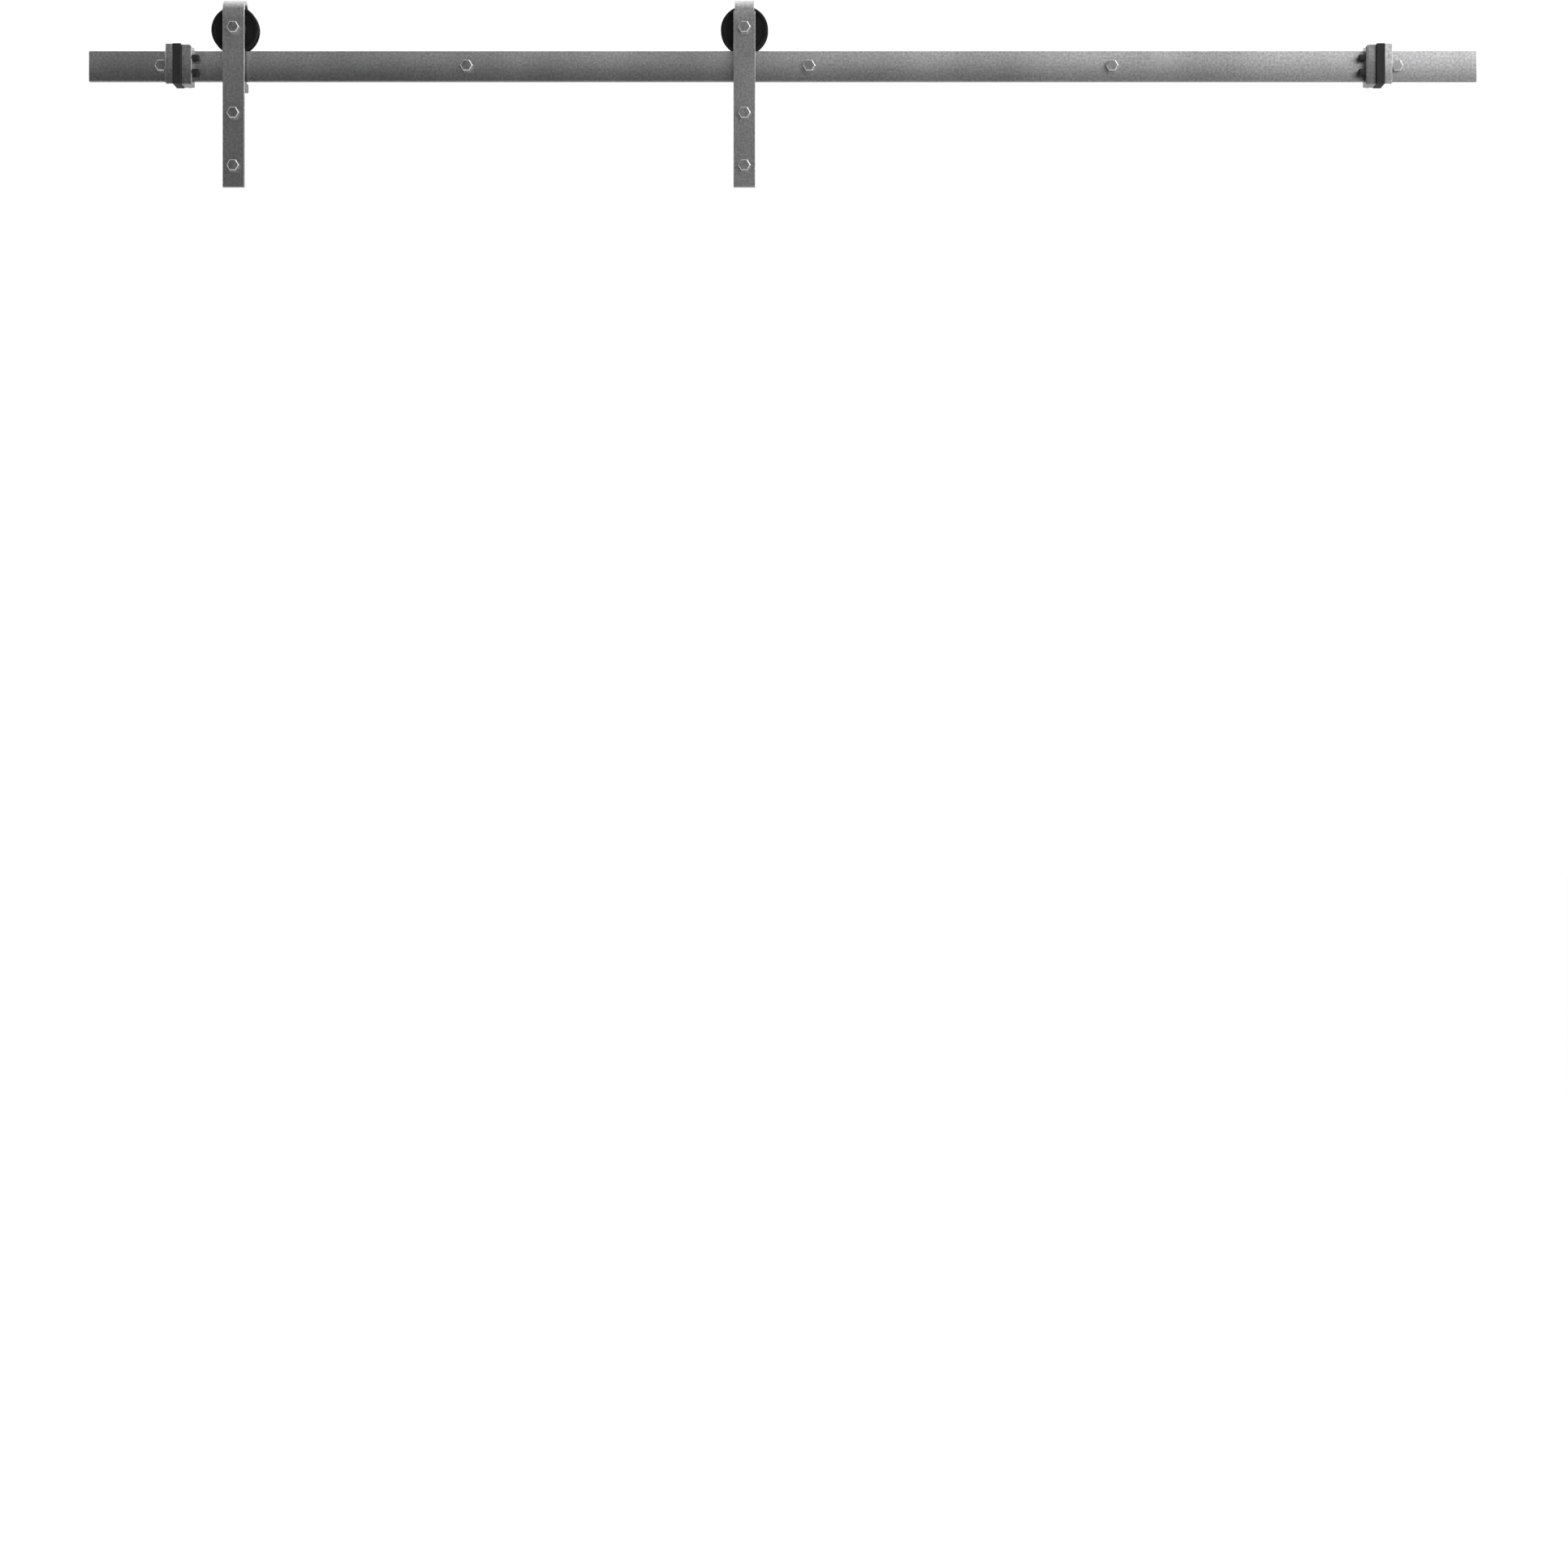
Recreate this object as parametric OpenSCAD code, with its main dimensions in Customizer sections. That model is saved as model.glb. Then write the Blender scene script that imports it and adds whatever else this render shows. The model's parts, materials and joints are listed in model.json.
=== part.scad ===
// Sliding barn door hardware for one door: a flat rail on wall spacers,
// two strap hangers that roll on it on grooved wheels, and two clamp-on stops.
// +X runs right along the rail, +Y towards the wall, +Z up.
// The origin is on the axis of the middle wall screw, at the wall's face.

/* [Rail] */
// Length of the flat bar
rail_length = 1829; // [1820:1:1840]
// Height of the flat bar
rail_height = 40; // [39:0.5:41]
// Thickness of the flat bar
rail_thickness = 6; // [5.5:0.5:6]
// Gap between the wall and the back of the rail
wall_gap = 35; // [34:1:40]

/* [Wall screws, from the left end of the rail] */
// First screw
wall_screw_1_at = 96; // [90:1:96]
// Second screw
wall_screw_2_at = 498; // [400:1:600]
// Third screw, on which the model's origin lies
wall_screw_3_at = 949; // [900:1:1000]
// Fourth screw
wall_screw_4_at = 1348; // [1250:1:1450]
// Fifth screw
wall_screw_5_at = 1723; // [1723:1:1730]
// How far a screw reaches into the wall
wall_grip = 30; // [25:1:60]
// Outside diameter of the spacer on each screw
spacer_d = 20; // [18:1:22]

/* [Hangers] */
// Left hanger's centre, from the left end of the rail
left_hanger_at = 193; // [180:1:400]
// Right hanger's centre, from the left end of the rail
right_hanger_at = 864; // [600:1:1200]
// Width of the bent strap
strap_width = 28.5; // [26:0.5:30]
// Thickness of the bent strap
strap_thickness = 5; // [4:0.5:5]
// Gap between the strap's two legs
strap_gap = 20; // [20:0.5:22]
// Distance from the rail's centre line down to the strap's lower end
strap_drop = 162; // [155:1:180]
// Height of the bend's centre above the rail's centre line
bend_height = 71.5; // [71:0.5:75]
// Distance from the rail's centre line up to the rear leg's end
rear_leg_end = 15; // [14:0.5:20]
// Upper door screw, below the rail's centre line
upper_door_screw_drop = 65; // [55:1:75]
// Lower door screw, below the rail's centre line
lower_door_screw_drop = 134; // [120:1:145]
// How far a door screw reaches behind the strap
door_grip = 30; // [25:1:35]

/* [Wheels] */
// Diameter over the flanges
wheel_d = 62.4; // [61:0.2:62.6]
// Radius on which the wheel rolls
rolling_r = 27.5; // [27.3:0.1:27.8]
// Width of the groove at its bottom
groove_width = 7.5; // [7:0.1:8]
// Width over the two flanges
wheel_width = 13; // [12.5:0.5:13.5]

/* [Stops] */
// Door-side face of the left stop, from the left end of the rail
left_stop_face = 137.5; // [137.5:0.5:145]
// Door-side face of the right stop, from the left end of the rail
right_stop_face = 1681; // [1675:0.5:1681]
// Length of each stop along the rail
stop_length = 34; // [33:0.5:34]
// Height of each stop
stop_height = 52.6; // [52:0.1:54]
// How far a buffer stands out of its stop
buffer_reach = 9; // [7:0.5:10]
// Diameter of a buffer
buffer_d = 8.7; // [8:0.1:9]
// Distance between the two buffers of a stop
buffer_spacing = 19; // [16:0.5:20]

/* [Hidden] */
$fn = 96;
SIDES = ["left", "right"];

// A gap that keeps faces apart where one piece goes into another
fit = 0.02;
// A cut's overshoot past the face that it opens
over = 1;

// Rail: its mid-plane, its ends and its screws, in the model's frame
rail_y = -(wall_gap + rail_thickness / 2);
rail_left = -wall_screw_3_at;
rail_top = rail_height / 2;
rail_front = rail_y - rail_thickness / 2;
rail_back = rail_y + rail_thickness / 2;
wall_screw_x = [for (at = [wall_screw_1_at, wall_screw_2_at, wall_screw_3_at,
    wall_screw_4_at, wall_screw_5_at]) rail_left + at];

// Hexagon head screws and bolts with a 3/8 inch shank
shank_r = 4.7625;
thread_r = 4.5;
screw_hole_r = 5;
head_flats = 14.3;
head_height = 5.6;
head_chamfer = 0.8;
tip_length = 8;
nut_height = 5.5;

// Hanger: the strap's faces, the wheel's axle and the anti-jump block
hanger_x = [for (at = [left_hanger_at, right_hanger_at]) rail_left + at];
axle_z = rail_top + rolling_r;
leg_inside = strap_gap / 2;
leg_outside = leg_inside + strap_thickness;
strap_back = rail_y - leg_inside;
strap_front = rail_y - leg_outside;
bend_narrowing = [0, 1.7];
bend_shoulder_drop = 2.3;
block_top = -(rail_top + 0.6);
block_height = 10.9;
block_depth = 24;
block_screw_r = 2.5;
block_screw_head_r = 4.5;
block_screw_head_height = 3;
block_screw_grip = 4;

// Wheel: its gap to the rail, its rim, the hollow that lightens its faces and the shoulder
// behind the bearing
wheel_r = wheel_d / 2;
groove_r = rolling_r - 0.2;
rim_chamfer = 1.3;
groove_flare = 0.8;
face_hollow_inner_r = 15;
face_hollow_outer_r = 25;
face_hollow_depth = 1;
face_hollow_slope = 1.5;
shoulder_r = 9.6;

// Ball bearing for a 3/8 inch axle
bearing_r = 11.1125;
bearing_half = 3.572;
ball_count = 7;
ball_r = 1.984;
ball_ring_r = (shank_r + bearing_r) / 2;
race_gap = 0.05;
inner_race_r = 6.55;
outer_race_r = 9.35;
shield_recess = 0.9;
shield_thickness = 0.4;
shield_inner_r = 6.8;
shield_seat = 0.25;
sleeve_r = 6.3;

// Stop: the three layers along the rail, the clamp behind the body and its screws
stop_faces = [for (at = [left_stop_face, right_stop_face]) rail_left + at];
body_length = 13.5;
band_length = 10.5;
plate_length = stop_length - body_length - band_length;
body_front = rail_y - 13;
band_front = rail_y - 16.5;
plate_front = rail_y - 16;
clamp_gap = 0.4;
clamp_thickness = 4.8;
clamp_back = rail_back + clamp_gap + clamp_thickness;
slot_gap = 0.15;
body_corner = [2.2, 2.8];
plate_corner = 2;
plate_lip = 1.5;
plate_bevel = 5.5;
band_proud = 0.3;
body_shy = 0.3;
buffer_y = body_front + buffer_d / 2 + 0.1;
tie_r = 2;
tie_head_r = 3;
tie_head_height = 3;
tie_end = 2;
clamp_screw_r = 2;
clamp_screw_z = (rail_top + stop_height / 2) / 2;
clamp_screw_head_r = 2.9;
clamp_screw_head_height = 2.5;
clamp_screw_depth = 10;
head_clearance_r = 9.4;
head_clearance_y = rail_front - head_height - 0.6;

STEEL = [0.42, 0.42, 0.43];
LIGHT_STEEL = [0.62, 0.62, 0.63];
BLACK = [0.09, 0.09, 0.09];
RUBBER = [0.13, 0.13, 0.13];

// A cylinder along +Y from y = 0
module along_y(r, length) {
    rotate([-90, 0, 0]) cylinder(r = r, h = length);
}

// A ring along Y, centred on y = 0
module ring_y(outer_r, inner_r, width) {
    rotate([90, 0, 0]) difference() {
        cylinder(r = outer_r, h = width, center = true);
        cylinder(r = inner_r, h = width + 2 * over, center = true);
    }
}

// A chamfered hexagon head whose flat back is at y = 0 and whose crown is at y = -height
module hex_head(flats, height) {
    corner_r = flats / sqrt(3);
    intersection() {
        rotate([90, 0, 0]) cylinder(r = corner_r, h = height, $fn = 6);
        rotate([90, 0, 0]) union() {
            cylinder(r = corner_r + over, h = height - head_chamfer);
            translate([0, 0, height - head_chamfer])
                cylinder(r1 = corner_r, r2 = flats / 2 - head_chamfer / 2, h = head_chamfer);
        }
    }
}

// A hexagon head screw along +Y: a plain shank through the metal, then thread and a point
module hex_screw(shank_length, grip) {
    hex_head(head_flats, head_height);
    along_y(shank_r, shank_length);
    translate([0, shank_length, 0]) along_y(thread_r, grip - tip_length);
    translate([0, shank_length + grip - tip_length, 0])
        rotate([-90, 0, 0]) cylinder(r1 = thread_r, r2 = 0.6, h = tip_length);
}

module rail() {
    color(STEEL) difference() {
        translate([rail_left, rail_front, -rail_top])
            cube([rail_length, rail_thickness, rail_height]);
        for (x = wall_screw_x)
            translate([x, rail_front - over, 0])
                along_y(screw_hole_r, rail_thickness + 2 * over);
    }
}

module wall_spacer(i) {
    color(STEEL) translate([wall_screw_x[i], -wall_gap / 2, 0])
        ring_y(spacer_d / 2, screw_hole_r, wall_gap);
}

module wall_screw(i) {
    color(STEEL) translate([wall_screw_x[i], rail_front, 0])
        hex_screw(rail_thickness + wall_gap, wall_grip);
}

// Puts a stop's piece in place: its local x = 0 is the door-side face, +x points to the door
module at_stop(s) {
    translate([stop_faces[s], 0, 0]) mirror([s, 0, 0]) children();
}

// The space of the rail in a stop's layer; depth is how far it reaches behind the rail
module rail_slot(start, length, depth) {
    translate([start - over, rail_front, -rail_top - slot_gap])
        cube([length + 2 * over, rail_thickness + depth, rail_height + 2 * slot_gap]);
}

// The bores of the two tie screws, along X
module tie_bores(r, start, length) {
    for (z = [-1, 1] * buffer_spacing / 2)
        translate([start, buffer_y, z]) rotate([0, 90, 0]) cylinder(r = r, h = length);
}

module stop_body(s) {
    height = stop_height - 2 * body_shy;
    color(STEEL) at_stop(s) difference() {
        translate([-body_length, body_front, -height / 2])
            cube([body_length, rail_back - body_front, height]);
        rail_slot(-body_length, body_length, over);
        tie_bores(tie_r + fit, -body_length - over, body_length + 2 * over);
        // eased upper corner that clears the wheel's flange
        translate([0, rail_back + over, height / 2]) rotate([90, 0, 0])
            linear_extrude(height = rail_back - body_front + 2 * over)
                polygon([[-body_corner[0], over], [-body_corner[0], 0], [0, -body_corner[1]],
                    [over, -body_corner[1]], [over, over]]);
        for (z = [-1, 1] * clamp_screw_z)
            translate([-body_length / 2, rail_back - clamp_screw_depth, z])
                along_y(clamp_screw_r + fit, clamp_screw_depth + over);
    }
}

// Rubber layer that goes all the way round the rail
module stop_band(s) {
    start = -body_length - band_length;
    height = stop_height + 2 * band_proud;
    color(RUBBER) at_stop(s) difference() {
        translate([start, band_front, -height / 2])
            cube([band_length, clamp_back - band_front, height]);
        rail_slot(start, band_length, slot_gap);
        tie_bores(tie_r + fit, start - over, band_length + 2 * over);
    }
}

// Outer layer in front of the rail, bevelled behind its upper and lower edges
module stop_plate(s) {
    outer = -stop_length;
    edge = stop_height / 2;
    lip = plate_front + plate_lip;
    color(LIGHT_STEEL) difference() {
        at_stop(s) difference() {
            translate([outer, 0, 0]) rotate([90, 0, 90]) linear_extrude(height = plate_length)
                polygon([[plate_front, -edge], [lip, -edge],
                    [lip + plate_bevel, plate_bevel - edge], [rail_front, plate_bevel - edge],
                    [rail_front, edge - plate_bevel], [lip + plate_bevel, edge - plate_bevel],
                    [lip, edge], [plate_front, edge]]);
            tie_bores(tie_r + fit, outer + tie_end, plate_length);
            // eased lower corner on the side away from the door
            translate([outer, rail_front + over, -edge]) rotate([90, 0, 0])
                linear_extrude(height = rail_front - plate_front + 2 * over)
                    polygon([[-over, -over], [plate_corner, -over], [plate_corner, 0],
                        [0, plate_corner], [-over, plate_corner]]);
        }
        // notch round the head of the wall screw beside the stop
        translate([wall_screw_x[4 * s], head_clearance_y, 0])
            along_y(head_clearance_r, rail_front - head_clearance_y + over);
    }
}

// Plate behind the rail that two screws pull against the body
module stop_clamp(s) {
    color(STEEL) at_stop(s) difference() {
        translate([-body_length, rail_back + clamp_gap, -stop_height / 2 + body_shy])
            cube([body_length, clamp_thickness, stop_height - 2 * body_shy]);
        for (z = [-1, 1] * clamp_screw_z)
            translate([-body_length / 2, rail_back + clamp_gap - over, z])
                along_y(clamp_screw_r + fit, clamp_thickness + 2 * over);
    }
}

// Rubber caps on the heads of the tie screws
module stop_buffers(s) {
    color(BLACK) at_stop(s) difference() {
        tie_bores(buffer_d / 2, fit, buffer_reach - fit);
        tie_bores(tie_head_r + fit, 0, tie_head_height + fit);
    }
}

module stop_tie_screws(s) {
    color(STEEL) at_stop(s) {
        tie_bores(tie_r, -stop_length + tie_end + fit, stop_length - tie_end);
        tie_bores(tie_head_r, fit, tie_head_height - fit);
    }
}

module stop_clamp_screws(s) {
    grip = clamp_screw_depth - over;
    color(STEEL) at_stop(s) for (z = [-1, 1] * clamp_screw_z)
        translate([-body_length / 2, 0, z]) {
            translate([0, rail_back - grip, 0])
                along_y(clamp_screw_r, grip + clamp_gap + clamp_thickness);
            translate([0, clamp_back, 0])
                along_y(clamp_screw_head_r, clamp_screw_head_height);
        }
}

// Flat bar bent over the wheel: long front leg, half ring, short rear leg
module strap(s) {
    color(STEEL) translate([hanger_x[s], rail_y, 0]) difference() {
        union() {
            translate([-strap_width / 2, -leg_outside, -strap_drop])
                cube([strap_width, strap_thickness, strap_drop + bend_height]);
            translate([-strap_width / 2, leg_inside, rear_leg_end])
                cube([strap_width, strap_thickness, bend_height - rear_leg_end]);
            translate([0, 0, bend_height]) intersection() {
                rotate([0, 90, 0]) difference() {
                    cylinder(r = leg_outside, h = strap_width, center = true);
                    cylinder(r = leg_inside, h = strap_width + 2 * over, center = true);
                }
                translate([-strap_width, -leg_outside - over, 0])
                    cube([2 * strap_width, 2 * (leg_outside + over), leg_outside + over]);
            }
        }
        // the right strap's bend is narrower than its legs, with a shoulder on each side
        if (bend_narrowing[s] > 0)
            for (side = [-1, 1])
                translate([side * strap_width / 2 - bend_narrowing[s], -leg_outside - over,
                    bend_height - bend_shoulder_drop])
                    cube([2 * bend_narrowing[s], 2 * (leg_outside + over), 2 * leg_outside]);
        translate([0, -leg_outside - over, axle_z])
            along_y(shank_r + fit, 2 * (leg_outside + over));
        for (drop = [upper_door_screw_drop, lower_door_screw_drop])
            translate([0, -leg_outside - over, -drop])
                along_y(screw_hole_r, strap_thickness + 2 * over);
        translate([0, -leg_inside - block_screw_grip, block_top - block_height / 2])
            along_y(block_screw_r + fit, block_screw_grip + over);
    }
}

module axle_bolt(s) {
    color(STEEL) translate([hanger_x[s], strap_front, axle_z]) {
        hex_head(head_flats, head_height);
        along_y(shank_r, 2 * leg_outside + nut_height + 1.5);
    }
}

module axle_nut(s) {
    color(STEEL) translate([hanger_x[s], rail_y + leg_outside, axle_z])
        mirror([0, 1, 0]) difference() {
            hex_head(head_flats, nut_height);
            translate([0, -nut_height - over, 0])
                along_y(shank_r + fit, nut_height + 2 * over);
        }
}

// Spacing sleeve between the bearing's inner race and a leg; end is -1 in front, 1 behind
module axle_sleeve(s, end) {
    length = leg_inside - bearing_half;
    color(STEEL) translate([hanger_x[s], rail_y + end * (bearing_half + length / 2), axle_z])
        ring_y(sleeve_r, shank_r + fit, length);
}

module bearing_inner_race(s) {
    color(LIGHT_STEEL) translate([hanger_x[s], rail_y, axle_z]) rotate([90, 0, 0])
        difference() {
            cylinder(r = inner_race_r, h = 2 * bearing_half, center = true);
            cylinder(r = shank_r + fit, h = 2 * bearing_half + over, center = true);
            rotate_extrude() translate([ball_ring_r, 0]) circle(r = ball_r + race_gap, $fn = 32);
        }
}

module bearing_outer_race(s) {
    color(LIGHT_STEEL) translate([hanger_x[s], rail_y, axle_z]) rotate([90, 0, 0])
        difference() {
            cylinder(r = bearing_r, h = 2 * bearing_half, center = true);
            cylinder(r = outer_race_r, h = 2 * bearing_half + over, center = true);
            rotate_extrude() translate([ball_ring_r, 0]) circle(r = ball_r + race_gap, $fn = 32);
            // seats of the two shields
            for (end = [-1, 1])
                translate([0, 0, end * (bearing_half - shield_recess / 2)])
                    cylinder(r = outer_race_r + shield_seat, h = shield_recess + 2 * fit,
                        center = true);
        }
}

module bearing_balls(s) {
    color(LIGHT_STEEL) translate([hanger_x[s], rail_y, axle_z])
        for (i = [0:ball_count - 1])
            rotate([0, i * 360 / ball_count, 0])
                translate([ball_ring_r, 0, 0]) sphere(r = ball_r, $fn = 32);
}

module bearing_shields(s) {
    color(BLACK) translate([hanger_x[s], rail_y, axle_z]) for (end = [-1, 1])
        translate([0, end * (bearing_half - shield_recess + shield_thickness / 2), 0])
            ring_y(outer_race_r + shield_seat - fit, shield_inner_r, shield_thickness);
}

// A flange's outline as [radius, distance from the wheel's mid-plane]
function flange_outline(bore_r, inner_face, outer_face) = [
    [bore_r, outer_face],
    [face_hollow_inner_r - face_hollow_slope, outer_face],
    [face_hollow_inner_r, outer_face - face_hollow_depth],
    [face_hollow_outer_r, outer_face - face_hollow_depth],
    [face_hollow_outer_r + face_hollow_slope, outer_face],
    [wheel_r - rim_chamfer, outer_face],
    [wheel_r, outer_face - rim_chamfer],
    [wheel_r, inner_face + groove_flare],
    [groove_r, inner_face],
    [bore_r, inner_face]
];

// Middle of the wheel, which rolls on the rail and holds the bearing
module wheel_core(s) {
    color(BLACK) translate([hanger_x[s], rail_y, axle_z])
        ring_y(groove_r, bearing_r + fit, groove_width);
}

// Flange of the wheel; end is -1 in front, 1 behind, where it is a shoulder for the bearing
module wheel_flange(s, end) {
    bore_r = end > 0 ? shoulder_r : bearing_r + fit;
    color(BLACK) translate([hanger_x[s], rail_y, axle_z]) mirror([0, (end + 1) / 2, 0])
        rotate([90, 0, 0]) rotate_extrude()
            polygon(flange_outline(bore_r, groove_width / 2, wheel_width / 2));
}

// Block under the rail that keeps the wheel from jumping off it
module anti_jump_block(s) {
    color(LIGHT_STEEL) difference() {
        translate([hanger_x[s] - strap_width / 2, strap_back, block_top - block_height])
            cube([strap_width, block_depth, block_height]);
        translate([hanger_x[s], strap_back - over, block_top - block_height / 2])
            along_y(block_screw_r + fit, block_depth + 2 * over);
        translate([hanger_x[s], strap_back + block_depth - block_screw_head_height,
            block_top - block_height / 2])
            along_y(block_screw_head_r, block_screw_head_height + over);
    }
}

module anti_jump_screw(s) {
    head_y = strap_back + block_depth - block_screw_head_height;
    color(STEEL) translate([hanger_x[s], 0, block_top - block_height / 2]) {
        translate([0, strap_back - block_screw_grip + 0.2, 0])
            along_y(block_screw_r, head_y - strap_back + block_screw_grip);
        translate([0, head_y, 0])
            along_y(block_screw_head_r - 0.3, block_screw_head_height - 0.3);
    }
}

module door_screws(s) {
    color(STEEL) for (drop = [upper_door_screw_drop, lower_door_screw_drop])
        translate([hanger_x[s], strap_front, -drop])
            hex_screw(strap_thickness, door_grip);
}

rail();
for (i = [1:5]) {
    wall_spacer(i - 1);
    wall_screw(i - 1);
}
for (s = [0, 1]) {
    side = SIDES[s];
    stop_body(s);
    stop_band(s);
    stop_plate(s);
    stop_clamp(s);
    stop_buffers(s);
    stop_tie_screws(s);
    stop_clamp_screws(s);
    strap(s);
    axle_bolt(s);
    axle_nut(s);
    axle_sleeve(s, -1);
    axle_sleeve(s, 1);
    bearing_inner_race(s);
    anti_jump_block(s);
    anti_jump_screw(s);
    door_screws(s);
    wheel_core(s);
    wheel_flange(s, -1);
    wheel_flange(s, 1);
    bearing_outer_race(s);
    bearing_balls(s);
    bearing_shields(s);
}
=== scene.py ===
# %% [markdown]
# # Sliding barn door hardware
# This lesson builds the looks of a flat rail, two strap hangers with grooved wheels and two
# clamp-on stops. The CAD model is the frame: it says where every piece is and how big it is.
# Blender adds what a workshop adds: eased edges, threads, turned faces, grain and wear.

# %% Load the frame
import json
import math

import bmesh
import bpy
import numpy as np
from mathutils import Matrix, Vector


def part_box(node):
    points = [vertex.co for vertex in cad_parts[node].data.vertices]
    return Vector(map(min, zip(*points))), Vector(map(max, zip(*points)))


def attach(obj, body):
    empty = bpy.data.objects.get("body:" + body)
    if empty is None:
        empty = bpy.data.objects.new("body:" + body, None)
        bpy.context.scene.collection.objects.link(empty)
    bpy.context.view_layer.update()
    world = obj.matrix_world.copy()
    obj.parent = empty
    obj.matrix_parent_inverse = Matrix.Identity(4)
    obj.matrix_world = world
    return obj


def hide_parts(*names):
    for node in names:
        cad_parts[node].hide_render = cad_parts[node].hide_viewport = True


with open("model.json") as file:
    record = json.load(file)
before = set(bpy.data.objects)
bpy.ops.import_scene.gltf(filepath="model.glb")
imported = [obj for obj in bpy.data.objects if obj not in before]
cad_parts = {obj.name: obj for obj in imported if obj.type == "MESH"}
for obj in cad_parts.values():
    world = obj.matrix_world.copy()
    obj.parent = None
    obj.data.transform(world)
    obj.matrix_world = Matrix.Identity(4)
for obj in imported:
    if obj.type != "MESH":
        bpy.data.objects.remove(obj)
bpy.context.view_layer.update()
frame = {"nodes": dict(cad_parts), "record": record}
record = frame["record"]
MM = 0.001
SIDES = ("left", "right")

# %% [markdown]
# ## Where things are
# Every place comes from the CAD nodes' boxes or from the record's mounts, so that nothing is
# fitted by eye. `low_high` gives a node's two corners as arrays, and `middle` its centre.

# %% Places
def low_high(node):
    """The lowest and the highest corner of a CAD node, in metres."""
    low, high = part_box(node)
    return np.array(low), np.array(high)


def middle(node):
    """The centre of a CAD node's box."""
    low, high = low_high(node)
    return (low + high) / 2


mounts = {mount["name"]: mount for mount in record["mounts"]}
rail_low, rail_high = low_high("rail")
rail_middle = (rail_low + rail_high) / 2
rail_length, rail_thickness, rail_height = rail_high - rail_low
print("rail", np.round((rail_high - rail_low) / MM, 1), "mm")

# %% [markdown]
# ## Shader nodes in a few words
# The room's light and every finish are node trees. They could be built node by node each time,
# but a few short functions, one for each kind of step, make the trees read like sums.

# %% Helpers for node trees
def principled(name):
    """A new material with its node tree and its Principled shader."""
    material = bpy.data.materials.new(name)
    material.use_nodes = True
    tree = material.node_tree
    return material, tree, tree.nodes["Principled BSDF"]


def feed(tree, socket, value):
    """Link a value into a socket, or set it there if it is a plain number."""
    if isinstance(value, (int, float)):
        socket.default_value = value
    else:
        tree.links.new(value, socket)


def combined(tree, operation, first, second):
    """One arithmetic step on two values."""
    node = tree.nodes.new("ShaderNodeMath")
    node.operation = operation
    feed(tree, node.inputs[0], first)
    feed(tree, node.inputs[1], second)
    return node.outputs[0]


def ranged(tree, value, low, high, to_low, to_high, smooth=False):
    """Carry a value from one range into another, held at the ends."""
    node = tree.nodes.new("ShaderNodeMapRange")
    if smooth:
        node.interpolation_type = "SMOOTHSTEP"
    for socket, given in zip(node.inputs[:5], (value, low, high, to_low, to_high)):
        feed(tree, socket, given)
    return node.outputs["Result"]


def axes_of(tree, output):
    """The three axes of a texture coordinate, such as the Object one."""
    where = tree.nodes.new("ShaderNodeTexCoord")
    split = tree.nodes.new("ShaderNodeSeparateXYZ")
    tree.links.new(where.outputs[output], split.inputs[0])
    return split.outputs


def noise(tree, scale, detail, stretch=(1, 1, 1)):
    """Noise on Object coordinates; stretch above 1 makes it finer along that axis."""
    where = tree.nodes.new("ShaderNodeTexCoord")
    mapping = tree.nodes.new("ShaderNodeMapping")
    mapping.inputs["Scale"].default_value = stretch
    tree.links.new(where.outputs["Object"], mapping.inputs["Vector"])
    texture = tree.nodes.new("ShaderNodeTexNoise")
    texture.inputs["Scale"].default_value = scale
    texture.inputs["Detail"].default_value = detail
    tree.links.new(mapping.outputs["Vector"], texture.inputs["Vector"])
    return texture.outputs["Fac"]


def toned(tree, colour, amount):
    """A colour made lighter or darker by an amount that varies over the surface."""
    scale = tree.nodes.new("ShaderNodeVectorMath")
    scale.operation = "SCALE"
    scale.inputs[0].default_value = colour
    tree.links.new(amount, scale.inputs["Scale"])
    return scale.outputs[0]


def bump(tree, shader, height, distance, strength):
    """Raise the surface by a height pattern."""
    node = tree.nodes.new("ShaderNodeBump")
    node.inputs["Distance"].default_value = distance
    node.inputs["Strength"].default_value = strength
    tree.links.new(height, node.inputs["Height"])
    tree.links.new(node.outputs["Normal"], shader.inputs["Normal"])


# %% [markdown]
# ## The camera
# The camera looks level at the wall from 3.5 m, well below the rail, as a person photographs a
# whole door. The rail is then near the top of the frame, and its undersides show. A long lens
# could be tilted up instead, but that would make upright edges lean.

# %% Camera
CAMERA_DISTANCE = 3.5
CAMERA_DROP = 0.946
CAMERA_ASIDE = 0.0016
FRAME_WIDTH = 2.0663

camera_data = bpy.data.cameras.new("studio_camera")
camera_data.sensor_width = 36.0
camera_data.lens = camera_data.sensor_width * CAMERA_DISTANCE / FRAME_WIDTH
camera = bpy.data.objects.new("studio_camera", camera_data)
camera.location = (
    rail_middle[0] + CAMERA_ASIDE,
    rail_low[1] - CAMERA_DISTANCE,
    rail_middle[2] - CAMERA_DROP,
)
camera.rotation_euler = (math.radians(90), 0, 0)
bpy.context.scene.collection.objects.link(camera)
bpy.context.scene.camera = camera
print(f"lens {camera_data.lens:.1f} mm at {CAMERA_DISTANCE} m")

# %% [markdown]
# ## Floor, backdrop light and softbox
# A metal looks like what stands round it. A steel bar in an all-white room is white, so the room
# is white behind the object, bright overhead, and dark on the camera's side. On that side the
# light grows from left to right by the same factor for each step, so the bar goes evenly from
# dark grey to light grey, and every edge that faces right gets a bright line.

# %% Floor
FLOOR_DROP = 2.1
FLOOR_SIZE = 60.0

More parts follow.
